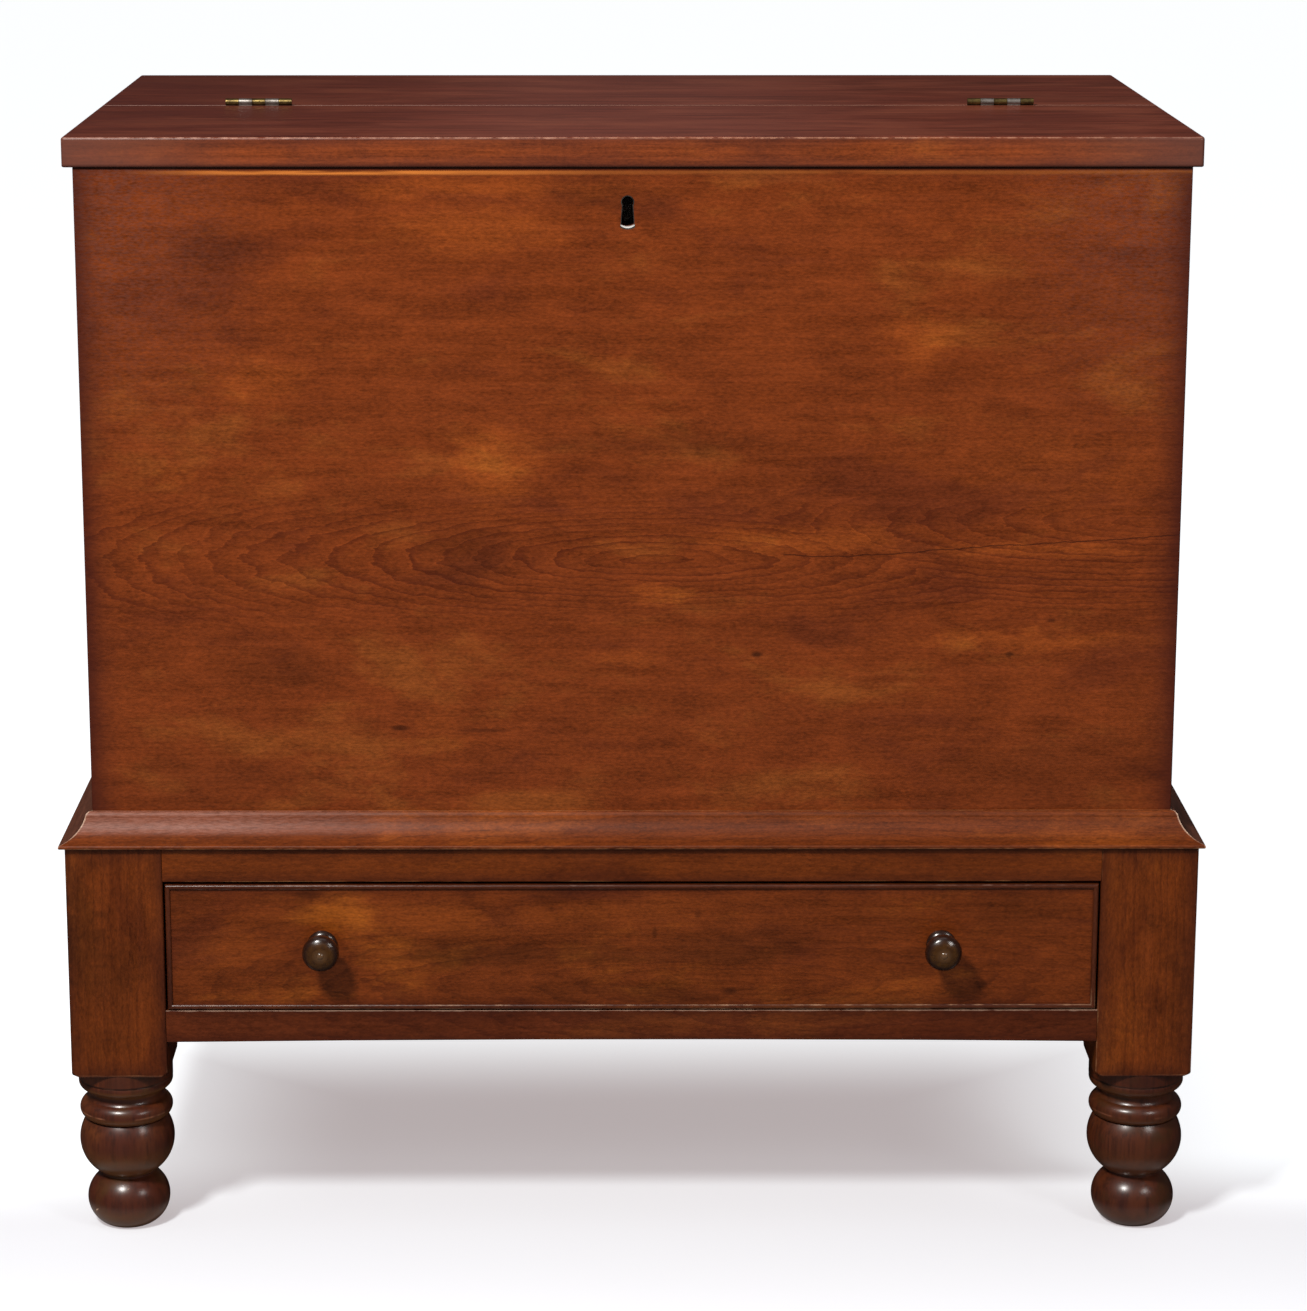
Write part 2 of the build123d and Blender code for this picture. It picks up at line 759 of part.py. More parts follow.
def hinge_leaf(centre, direction):
    """One leaf: a plate in its gain and every other knuckle, rolled round the pin."""
    half = hinge_length / 2
    face = seam_y + direction * hinge_leaf_gap / 2
    rear = face + direction * hinge_leaf_thickness
    leaf = block(centre - half, centre + half, face, rear, top_face - hinge_leaf_height, top_face)
    own = 0 if direction > 0 else 1
    for x0, x1 in knuckle_spans(centre)[own::2]:
        roll = hinge_rod((x0 + x1) / 2, hinge_barrel_radius, x1 - x0)
        leaf += block(x0, x1, face, rear, top_face, hinge_axis_z) + roll
    leaf -= hinge_rod(centre, hinge_pin_radius + hinge_pin_gap, 2 * hinge_length)
    for at in hinge_screw_points(centre, direction):
        leaf -= screw_hole(at, (0, direction, 0))
    return leaf


def hinge_pin(centre):
    return hinge_rod(centre, hinge_pin_radius, hinge_length)


def hinge_screws(direction):
    """The six screws of the two leaves on one board."""
    return Compound(children=[screw(at, (0, direction, 0)) for centre in hinge_centres()
                              for at in hinge_screw_points(centre, direction)])


# ---- lock

def keyhole_liner():
    """The metal lining, flush with the face of the front, thin round the sides and thicker at the foot."""
    ease = joint_gap / 2
    outer = keyhole(front, front + liner_depth, liner_wall - ease, liner_foot - ease)
    return outer - keyhole(front, front + liner_depth)


def lock_span():
    """The lock's case along Y: its outer face and the face of its back plate."""
    return front_inner - lock_depth, front_inner - lock_plate_thickness


def staple_centre():
    """The middle of the staples along Y."""
    y0, y1 = lock_span()
    return y1 - bolt_run_gap - staple_width / 2


def staple_xs():
    return [lock_x - staple_spacing / 2, lock_x + staple_spacing / 2]


def bolt_levels():
    """The bolt's levels: the bottom of its bar, its top, and the bottom and top of its fingers."""
    eye_low = lid_bottom - staple_length + staple_wall
    finger_low = eye_low + bolt_run_gap * 3
    bar_top = lid_bottom - staple_length - bolt_run_gap * 3
    return bar_top - bolt_bar_height, bar_top, finger_low, finger_low + bolt_finger_height


def lock_case():
    """The lock's box with its selvage, open at the back, with a rib that the bolt slides on."""
    y0, y1 = lock_span()
    half = lock_width / 2
    low = case_top - lock_height
    under = case_top - selvage_thickness
    box = block(lock_x - half, lock_x + half, y0, y1, low, under)
    inner_half = half - lock_wall
    room = block(lock_x - inner_half, lock_x + inner_half, y0 + lock_wall, y1, low + lock_wall, under)
    top = block(lock_x - selvage_width / 2, lock_x + selvage_width / 2, y0, front_inner, under, case_top)
    made = box - room + top
    centre = staple_centre()
    ease = bolt_run_gap * 2
    slot_half = staple_thickness / 2 + ease
    for x in staple_xs():
        made -= block(x - slot_half, x + slot_half, centre - staple_width / 2 - staple_swing,
                      centre + staple_width / 2 + ease / 2, under, case_top)
    bar_low = bolt_levels()[0]
    rib = block(lock_x - inner_half, lock_x + inner_half, y0 + lock_wall, y1 - bolt_run_gap,
                bar_low - bolt_run_gap - lock_wall, bar_low - bolt_run_gap)
    clear = block(lock_x - keyhole_foot, lock_x + keyhole_foot, y0 + lock_wall, y1,
                  bar_low - bolt_bar_height, bar_low)
    return made + (rib - clear) - keyhole(y0, y0 + lock_wall)


def lock_back_plate():
    """The plate over the back of the lock, screwed to the inside of the front."""
    half = lock_plate_width / 2
    y0 = front_inner - lock_plate_thickness
    low = case_top - lock_height
    plate = block(lock_x - half, lock_x + half, y0, front_inner, low, case_top - selvage_thickness)
    for at in lock_screw_points():
        plate -= screw_hole(at, (0, -1, 0))
    return plate


def lock_key_pin():
    """The pin that a barrel key turns on, in line with the round head of the keyhole."""
    y1 = front_inner - lock_plate_thickness
    z = case_top - keyhole_drop - keyhole_head_radius
    return Pos(lock_x, y1 - key_pin_reach / 2, z) * Rot(90, 0, 0) * Cylinder(key_pin_radius, key_pin_reach)


def lock_bolt():
    """The sliding bolt: a bar with two hooked fingers that pass through the staples."""
    bar_low, bar_top, finger_low, finger_top = bolt_levels()
    y0 = staple_centre() - bolt_thickness / 2
    y1 = y0 + bolt_thickness
    tips = [x - staple_thickness / 2 - bolt_rest_gap for x in staple_xs()]
    start = tips[0] - bolt_finger - bolt_post
    bar = block(start, tips[1], y0, y1, bar_low, bar_top)
    for tip in tips:
        bar += block(tip - bolt_finger - bolt_post, tip - bolt_finger, y0, y1, bar_top, finger_top)
        bar += block(tip - bolt_finger, tip, y0, y1, finger_low, finger_top)
    notch_top = bar_low + bolt_bar_height * bolt_notch_share
    notch = block(lock_x - bolt_post, lock_x + bolt_post, y0, y1, bar_low, notch_top)
    return bar - notch


def lock_screws():
    return Compound(children=[screw(at, (0, -1, 0)) for at in lock_screw_points()])


def strike_place():
    """The strike plate along Y, over the selvage."""
    centre = staple_centre()
    return centre - strike_depth / 2, centre + strike_depth / 2


def strike_plate():
    """The plate under the lid with its two staples."""
    y0, y1 = strike_place()
    half = strike_width / 2
    plate = block(lock_x - half, lock_x + half, y0, y1, lid_bottom, lid_bottom + strike_thickness)
    centre = staple_centre()
    low = lid_bottom - staple_length
    for x in staple_xs():
        x0, x1 = x - staple_thickness / 2, x + staple_thickness / 2
        loop = block(x0, x1, centre - staple_width / 2, centre + staple_width / 2, low, lid_bottom)
        eye = block(x0, x1, centre - staple_width / 2 + staple_wall, centre + staple_width / 2 - staple_wall,
                    low + staple_wall, lid_bottom - staple_wall - lock_wall)
        plate += loop - eye
    for at in strike_screw_points():
        plate -= screw_hole(at, (0, 0, 1))
    return plate


def strike_screw_points():
    return [(lock_x + s * strike_screw_spacing / 2, staple_centre(), lid_bottom) for s in (-1, 1)]


def strike_screws():
    return Compound(children=[screw(at, (0, 0, 1)) for at in strike_screw_points()])


# ---- drawer

def drawer_tails(side, at_front, gap=0.0):
    """The tails of a drawer side at its front or back end."""
    if at_front:
        root, end = drawer_face + drawer_front_thickness, drawer_face + bead_strip_depth + drawer_lap
    else:
        root, end = drawer_back - drawer_wall, drawer_back
    x0, x1 = sorted((side * (drawer_half - drawer_wall), side * drawer_half))
    z0 = drawer_run + drawer_floor_rise + drawer_floor_edge
    return tails(x0 - gap, x1 + gap, root, end, z0, drawer_wall_top, drawer_tail_pitch,
                 drawer_tail_share, drawer_tail_slope, gap)


def drawer_floor_groove():
    """The groove that holds the drawer's floor, in the front and the sides."""
    half = drawer_half - drawer_wall + drawer_groove
    z0 = drawer_run + drawer_floor_rise
    start = drawer_face + drawer_front_thickness - drawer_groove
    return block(-half - joint_gap, half + joint_gap, start - joint_gap, drawer_back,
                 z0 - joint_gap, z0 + drawer_floor_edge + joint_gap)


def bead_ring():
    """The rabbet round the drawer front's edge that takes the beads."""
    y0, y1 = drawer_face, drawer_face + bead_strip_depth
    w = bead_strip_width
    outer = block(-drawer_half, drawer_half, y0, y1, drawer_bottom, drawer_top)
    return outer - block(-drawer_half + w, drawer_half - w, y0, y1, drawer_bottom + w, drawer_top - w)


def knob_places():
    z = (drawer_bottom + drawer_top) / 2 + knob_rise
    return {name: (s * knob_spacing / 2, z) for name, s in sides.items()}


def drawer_front():
    """The drawer's front, rabbeted for the beads, with sockets for the sides' tails."""
    board = block(-drawer_half, drawer_half, drawer_face, drawer_face + drawer_front_thickness,
                  drawer_bottom, drawer_top)
    board -= bead_ring()
    for side in sides.values():
        board -= drawer_tails(side, True, joint_gap)
    board -= drawer_floor_groove()
    for x, z in knob_places().values():
        board -= Pos(x, drawer_face, z) * Rot(90, 0, 0) * Cylinder(knob_spigot_radius + spigot_gap, far / 10)
    return board


def drawer_side(side):
    """A drawer side with tails at both ends and the floor's groove."""
    board = mirrored(side, drawer_half - drawer_wall, drawer_half, drawer_face + drawer_front_thickness,
                     drawer_back - drawer_wall, drawer_run, drawer_wall_top)
    board += drawer_tails(side, True) + drawer_tails(side, False)
    return board - drawer_floor_groove()


def drawer_rear():
    """The drawer's back, above the floor, with sockets right through."""
    z0 = drawer_run + drawer_floor_rise + drawer_floor_edge
    board = block(-drawer_half, drawer_half, drawer_back - drawer_wall, drawer_back, z0, drawer_wall_top)
    for side in sides.values():
        board -= drawer_tails(side, False, joint_gap)
    return board


def drawer_floor_board():
    """The floor, bevelled underneath so that its thin edge enters the grooves, and open at the back."""
    half = drawer_half - drawer_wall + drawer_groove
    y0 = drawer_face + drawer_front_thickness - drawer_groove
    z1 = drawer_run + drawer_floor_rise + drawer_floor_edge
    z0 = z1 - drawer_floor
    board = block(-half, half, y0, drawer_back, z0, z1)
    drop = drawer_floor - drawer_floor_edge
    thin = z1 - drawer_floor_edge
    flat = drawer_groove + joint_gap
    for side in sides.values():
        x = half * side
        bevel_end = x - side * (flat + drawer_floor_bevel)
        cut = Polyline((x, z0), (x, thin), (x - side * flat, thin), (bevel_end, z0), close=True)
        board -= Pos(0, far / 2, 0) * extrude(Plane.XZ * make_face(cut), far)
    cut = Polyline((y0, z0), (y0, thin), (y0 + flat, thin), (y0 + flat + drawer_floor_bevel, z0), close=True)
    board -= Pos(-far / 2, 0, 0) * extrude(Plane.YZ * make_face(cut), far)
    return board


def bead_strip(low, length, along_x):
    """One bead, a thin strip with a rounded nose, its outer corner at a point; mitred later."""
    w = bead_strip_width
    y_nose = drawer_face - bead_strip_proud
    round_ = w / 2 - joint_gap
    strip = block(0, length, y_nose, drawer_face + bead_strip_depth, 0, w)
    nose = [e for e in strip.edges().filter_by(Axis.X) if abs(e.center().Y - y_nose) < joint_gap]
    strip = fillet(nose, round_)
    if not along_x:
        strip = Rot(0, -90, 0) * strip
    return Pos(low[0], 0, low[1]) * strip


def cock_bead(place):
    """The bead on one edge of the drawer's front, mitred to its neighbours."""
    x, z0, z1, w = drawer_half, drawer_bottom, drawer_top, bead_strip_width
    if place == "bottom":
        strip = bead_strip((-x, z0), 2 * x, True)
        cuts = [((-x, 0, z0), (1, 0, -1)), ((x, 0, z0), (-1, 0, -1))]
    elif place == "top":
        strip = bead_strip((-x, z1 - w), 2 * x, True)
        cuts = [((-x, 0, z1), (1, 0, 1)), ((x, 0, z1), (-1, 0, 1))]
    elif place == "left":
        strip = bead_strip((-x + w, z0), z1 - z0, False)
        cuts = [((-x, 0, z0), (-1, 0, 1)), ((-x, 0, z1), (-1, 0, -1))]
    else:
        strip = bead_strip((x, z0), z1 - z0, False)
        cuts = [((x, 0, z0), (1, 0, 1)), ((x, 0, z1), (1, 0, -1))]
    for corner, direction in cuts:
        strip = keep_corner(strip, corner, direction)
    return strip


def knob_outline():
    """Half section of a knob, radius against distance out from the drawer's face."""
    neck_top = knob_collar_height + knob_neck_height
    head_top = neck_top + knob_head_height
    rim = neck_top + knob_head_height * knob_rim_share
    swell = (knob_collar_radius + knob_collar_swell, knob_collar_height / 2)
    back_turn = (knob_back_radius, neck_top + knob_head_height * knob_back_share)
    tip = (0, head_top + knob_pip_height)
    root = -drawer_front_thickness
    foot = Line((knob_spigot_radius, 0), (knob_collar_radius, 0))
    collar = ThreePointArc(foot @ 1, swell, (knob_collar_radius, knob_collar_height))
    neck = ThreePointArc(collar @ 1, (knob_neck_radius, knob_collar_height + knob_neck_height / 2),
                         (knob_neck_top_radius, neck_top))
    under = ThreePointArc(neck @ 1, back_turn, (knob_head_radius, rim))
    brow = ThreePointArc(under @ 1, (knob_brow_radius, head_top - knob_brow_drop),
                         (knob_face_radius, head_top - knob_face_drop))
    face_turn = (knob_head_radius / 2, head_top - knob_face_drop / 4)
    face = ThreePointArc(brow @ 1, face_turn, (knob_pip_radius, head_top))
    pip = TangentArc(tip, (knob_pip_radius, head_top), tangent=(1, 0))
    spigot = Polyline(tip, (0, root), (knob_spigot_radius, root), (knob_spigot_radius, 0))
    return [foot, collar, neck, under, brow, face, pip, spigot]


def knob(x, z):
    """A turned knob with a spigot through the drawer's front."""
    turned = revolve(Plane.XZ * make_face(knob_outline()), Axis.Z)
    return Pos(x, drawer_face, z) * Rot(90, 0, 0) * turned


# ---- all pieces

def all_nodes():
    nodes = {
        "stand_upper_rail": front_rail(opening_top, stand_top),
        "stand_lower_rail": front_rail(lower_rail_bottom, opening_bottom, rail_arch),
        "stand_back": back_panel(),
        "drawer_stops": drawer_stops(),
        "waist_moulding_front": moulding_front(),
        "case_front": case_front(),
        "case_back": case_back(),
        "case_bottom_cleats": bottom_cleats(),
        "case_bottom_front": bottom_board(True),
        "case_bottom_rear": bottom_board(False),
        "bin_divider": bin_divider(),
        "top_rear_board": rear_board(),
        "top_glue_blocks": top_blocks(),
        "lid": lid(),
        "hinge_screws_fixed": hinge_screws(1),
        "hinge_screws_lid": hinge_screws(-1),
        "keyhole_liner": keyhole_liner(),
        "lock_case": lock_case(),
        "lock_back_plate": lock_back_plate(),
        "lock_key_pin": lock_key_pin(),
        "lock_bolt": lock_bolt(),
        "lock_screws": lock_screws(),
        "strike_plate": strike_plate(),
        "strike_screws": strike_screws(),
        "drawer_front": drawer_front(),
        "drawer_back": drawer_rear(),
        "drawer_floor": drawer_floor_board(),
    }
    for name, side in sides.items():
        nodes["leg_front_" + name] = leg(side, -1)
        nodes["leg_rear_" + name] = leg(side, 1)
        nodes["stand_side_" + name] = side_panel(side)
        nodes["drawer_runner_" + name] = drawer_rail(side, opening_bottom - runner_thickness, opening_bottom)
        nodes["drawer_kicker_" + name] = drawer_rail(side, opening_top, stand_top)
        nodes["drawer_guide_" + name] = drawer_guide(side)
        nodes["waist_moulding_" + name] = moulding_side(side)
        nodes["case_side_" + name] = case_side(side)
        nodes["drawer_side_" + name] = drawer_side(side)
    for name, centre in zip(sides, hinge_centres()):
        nodes["hinge_leaf_fixed_" + name] = hinge_leaf(centre, 1)
        nodes["hinge_leaf_lid_" + name] = hinge_leaf(centre, -1)
        nodes["hinge_pin_" + name] = hinge_pin(centre)
    for name, (x, z) in knob_places().items():
        nodes["knob_" + name] = knob(x, z)
    for place in ("top", "bottom", "left", "right"):
        nodes["cock_bead_" + place] = cock_bead(place)
    return nodes


os.makedirs("parts", exist_ok=True)
for name, shape in all_nodes().items():
    export_step(shape, os.path.join("parts", name + ".step"))
    print(name, round(shape.volume))
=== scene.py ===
import math

import bpy
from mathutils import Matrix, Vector


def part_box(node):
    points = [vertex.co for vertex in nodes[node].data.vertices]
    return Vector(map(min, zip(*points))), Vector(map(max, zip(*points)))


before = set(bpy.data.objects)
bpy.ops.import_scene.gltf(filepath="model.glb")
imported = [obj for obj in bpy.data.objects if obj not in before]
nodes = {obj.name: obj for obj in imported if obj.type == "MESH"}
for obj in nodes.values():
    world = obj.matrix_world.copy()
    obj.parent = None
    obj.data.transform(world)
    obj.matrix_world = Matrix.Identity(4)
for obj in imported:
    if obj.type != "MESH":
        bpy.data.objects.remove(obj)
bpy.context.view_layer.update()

print("frame loaded:", len(nodes), "nodes")

# camera, floor and light

cameraSetup = {"place": (-0.0325, -3.06, 1.179), "tiltDown": 12.79, "turn": 0.19, "lens": 102.75, "sensor": 36.0,
               "shiftX": 0.039, "shiftY": -0.06, "reach": 60.0}
floorSetup = {
    "size": 60.0, "colour": (0.462, 0.505, 0.535), "rough": 0.6, "shine": 0.1,
    # what polish sees of the floor: dim, but brighter close to a foot
    "mirrored": (0.035, 0.026, 0.023), "mirroredNear": (0.30, 0.29, 0.29), "feetAt": (0.41, 0.235, 0), "feetOver": 0.08,
    # what the camera sees besides the lamps: a glow that is dimmer under and around the chest, a painted shadow, and
    # white farther off, from and to these places
    "glowNear": (0.425, 0.375, 0.378), "glowFar": (0.85, 0.85, 0.86), "behind": (0.04, 0.27), "inFront": (-0.25, -0.90),
    "besideX": (0.22, 0.55), "besideY": (-0.24, -0.06), "outerX": (0.62, 0.95)}
lightSetup = {
    # name: (azimuth, elevation, distance, width, height, watts, colour)
    "keySoftbox": (-29, 43.5, 3.5, 0.46, 0.46, 130, (1.0, 0.975, 0.94)),
    "fillSoftbox": (40, 25, 2.8, 0.55, 0.55, 15, (1.0, 0.98, 0.96)),
    "topSoftbox": (0, 80, 3.2, 2.4, 1.6, 8, (0.96, 0.98, 1.0)),
}
lightsLookAt = (0, 0, 0.45)
roomLight = {"seen": (1.0, 1.0, 1.0), "ambient": (0.31, 0.315, 0.33), "gloss": (0.040, 0.033, 0.031)}


def makeCamera():
    camera = bpy.data.objects.new("camera", bpy.data.cameras.new("camera"))
    bpy.context.scene.collection.objects.link(camera)
    camera.location = cameraSetup["place"]
    camera.rotation_euler = (math.radians(90 - cameraSetup["tiltDown"]), 0, math.radians(-cameraSetup["turn"]))
    camera.data.lens = cameraSetup["lens"]
    camera.data.sensor_width = cameraSetup["sensor"]
    camera.data.shift_x = cameraSetup["shiftX"]
    camera.data.shift_y = cameraSetup["shiftY"]
    camera.data.clip_end = cameraSetup["reach"]
    bpy.context.scene.camera = camera


def setWires(tree, node, wires):
    # wires: socket name or number -> a value, or another node's output
    for key, value in wires.items():
        if isinstance(value, bpy.types.NodeSocket):
            tree.links.new(value, node.inputs[key])
        else:
            node.inputs[key].default_value = value


def addNode(tree, kind, wires=None, **settings):
    node = tree.nodes.new("ShaderNode" + kind)
    for name, value in settings.items():
        setattr(node, name, value)
    setWires(tree, node, wires or {})
    return node


def calc(tree, operation, a, b=None, c=None, clamp=False):
    wires = {0: a}
    if b is not None:
        wires[1] = b
    if c is not None:
        wires[2] = c
    return addNode(tree, "Math", wires, operation=operation, use_clamp=clamp).outputs[0]


def ramp(tree, value, low, high, toLow=0.0, toHigh=1.0, smooth=True):
    wires = {"Value": value, "From Min": low, "From Max": high, "To Min": toLow, "To Max": toHigh}
    node = addNode(tree, "MapRange", wires)
    node.interpolation_type = "SMOOTHSTEP" if smooth else "LINEAR"
    return node.outputs["Result"]


def split(tree, vector):
    return addNode(tree, "SeparateXYZ", {0: vector}).outputs


def join(tree, x, y, z):
    return addNode(tree, "CombineXYZ", {0: x, 1: y, 2: z}).outputs[0]


def vectorCalc(tree, operation, a, b=None):
    node = addNode(tree, "VectorMath", {0: a} if b is None else {0: a, 1: b}, operation=operation)
    return node.outputs["Value" if operation in ("LENGTH", "DISTANCE", "DOT_PRODUCT") else "Vector"]


def product(tree, value, *others):
    for other in others:
        value = calc(tree, "MULTIPLY", value, other)
    return value


def blend(tree, amount, a, b, mode="MIX"):
    return addNode(tree, "MixRGB", {0: amount, 1: a, 2: b}, blend_type=mode).outputs[0]


def makeFloor():
    half = floorSetup["size"] / 2
    mesh = bpy.data.meshes.new("floor")
    mesh.from_pydata([(-half, -half, 0), (half, -half, 0), (half, half, 0), (-half, half, 0)], [], [(0, 1, 2, 3)])
    floor = bpy.data.objects.new("floor", mesh)
    bpy.context.scene.collection.objects.link(floor)
    paint = bpy.data.materials.new("floorPaint")
    paint.use_nodes = True
    tree = paint.node_tree
    shader = tree.nodes["Principled BSDF"]
    shader.inputs["Roughness"].default_value = floorSetup["rough"]
    shader.inputs["Specular IOR Level"].default_value = floorSetup["shine"]
    path = addNode(tree, "LightPath").outputs
    place = addNode(tree, "TexCoord").outputs["Object"]
    fromMiddle = vectorCalc(tree, "ABSOLUTE", place)
    toFeet = vectorCalc(tree, "DISTANCE", fromMiddle, floorSetup["feetAt"])
    away = ramp(tree, toFeet, floorSetup["feetOver"] * 0.5, floorSetup["feetOver"])
    seen = blend(tree, away, (*floorSetup["mirroredNear"], 1), (*floorSetup["mirrored"], 1))
    colour = blend(tree, path["Is Glossy Ray"], (*floorSetup["colour"], 1), seen)
    tree.links.new(colour, shader.inputs["Base Color"])
    # the floor runs into the white of the room with no horizon, and its glow is dimmer near the chest as a painted
    # shadow
    across = split(tree, fromMiddle)[0]
    along = split(tree, place)[1]
    beside = product(tree, ramp(tree, across, *floorSetup["besideX"]), ramp(tree, along, *floorSetup["besideY"]))
    far = calc(tree, "MAXIMUM", ramp(tree, along, *floorSetup["behind"]), beside)
    far = calc(tree, "MAXIMUM", far, ramp(tree, along, *floorSetup["inFront"]))
    far = calc(tree, "MAXIMUM", far, ramp(tree, across, *floorSetup["outerX"]))
    glow = blend(tree, far, (*floorSetup["glowNear"], 1), (*floorSetup["glowFar"], 1))
    tree.links.new(glow, shader.inputs["Emission Color"])
    tree.links.new(path["Is Camera Ray"], shader.inputs["Emission Strength"])
    mesh.materials.append(paint)


def makeLights():
    for name, (azimuth, elevation, distance, width, height, watts, colour) in lightSetup.items():
        lamp = bpy.data.lights.new(name, "AREA")
        lamp.shape = "RECTANGLE"
        lamp.size, lamp.size_y = width, height
        lamp.energy, lamp.color = watts, colour
        holder = bpy.data.objects.new(name, lamp)
        bpy.context.scene.collection.objects.link(holder)
        a, e = math.radians(azimuth), math.radians(elevation)
        out = Vector((math.sin(a) * math.cos(e), -math.cos(a) * math.cos(e), math.sin(e)))
        holder.location = Vector(lightsLookAt) + out * distance
        holder.rotation_euler = (-out).to_track_quat("-Z", "Y").to_euler()


def makeRoom():
    # white where the camera sees it, softer for the light that it gives, dim in reflections
    world = bpy.data.worlds.new("room")
    bpy.context.scene.world = world
    world.use_nodes = True
    tree = world.node_tree
    tree.nodes.clear()
    path = addNode(tree, "LightPath")
    given = blend(tree, path.outputs["Is Glossy Ray"], (*roomLight["ambient"], 1), (*roomLight["gloss"], 1))
    seen = blend(tree, path.outputs["Is Camera Ray"], given, (*roomLight["seen"], 1))
    glow = addNode(tree, "Background", {"Color": seen, "Strength": 1.0})
    addNode(tree, "OutputWorld", {"Surface": glow.outputs[0]})
    bpy.context.scene.view_settings.view_transform = "Standard"


makeCamera()
makeFloor()
makeLights()
makeRoom()
print("camera, floor and lights made")

# shared effects, as node groups


def hexColour(text):
    # a screen colour such as "743516" as linear light
    parts = [int(text[i:i + 2], 16) / 255 for i in (0, 2, 4)]
    return tuple(p / 12.92 if p <= 0.04045 else ((p + 0.055) / 1.055) ** 2.4 for p in parts)


def stretched(tree, vector, scale, offset=(0, 0, 0)):
    return addNode(tree, "Mapping", {"Vector": vector, "Scale": scale, "Location": offset}).outputs["Vector"]


def noise(tree, vector, scale, detail=3.0, rough=0.55, distort=0.0):
    wires = {"Vector": vector, "Scale": scale, "Detail": detail, "Roughness": rough, "Distortion": distort}
    return addNode(tree, "TexNoise", wires).outputs["Fac"]


def newGroup(name, inputs, outputs):
    tree = bpy.data.node_groups.new(name, "ShaderNodeTree")
    for label, kind, value in inputs:
        socket = tree.interface.new_socket(name=label, in_out="INPUT", socket_type="NodeSocket" + kind)
        socket.default_value = value
    for label, kind in outputs:
        tree.interface.new_socket(name=label, in_out="OUTPUT", socket_type="NodeSocket" + kind)
    begin = tree.nodes.new("NodeGroupInput")
    end = tree.nodes.new("NodeGroupOutput")
    return tree, begin.outputs, end.inputs


def useGroup(tree, group, wires):
    node = addNode(tree, "Group", node_tree=group)
    setWires(tree, node, wires)
    return node.outputs


figureShape = {
    # noise scales along the grain, across it and through the board
    "slow": (6.0, 20.0, 20.0), "quick": (45.0, 110.0, 110.0), "patches": (4.0, 11.0, 11.0),
    "fine": (11.0, 360.0, 360.0), "broad": (5.0, 120.0, 120.0), "clouds": (7.0, 16.0, 16.0),
    "mottle": (26.0, 62.0, 62.0), "dust": (260.0, 640.0, 640.0),
    "fineShare": 0.65, "dustStrength": 1.3, "jitter": 1.1, "lineAt": 0.95}


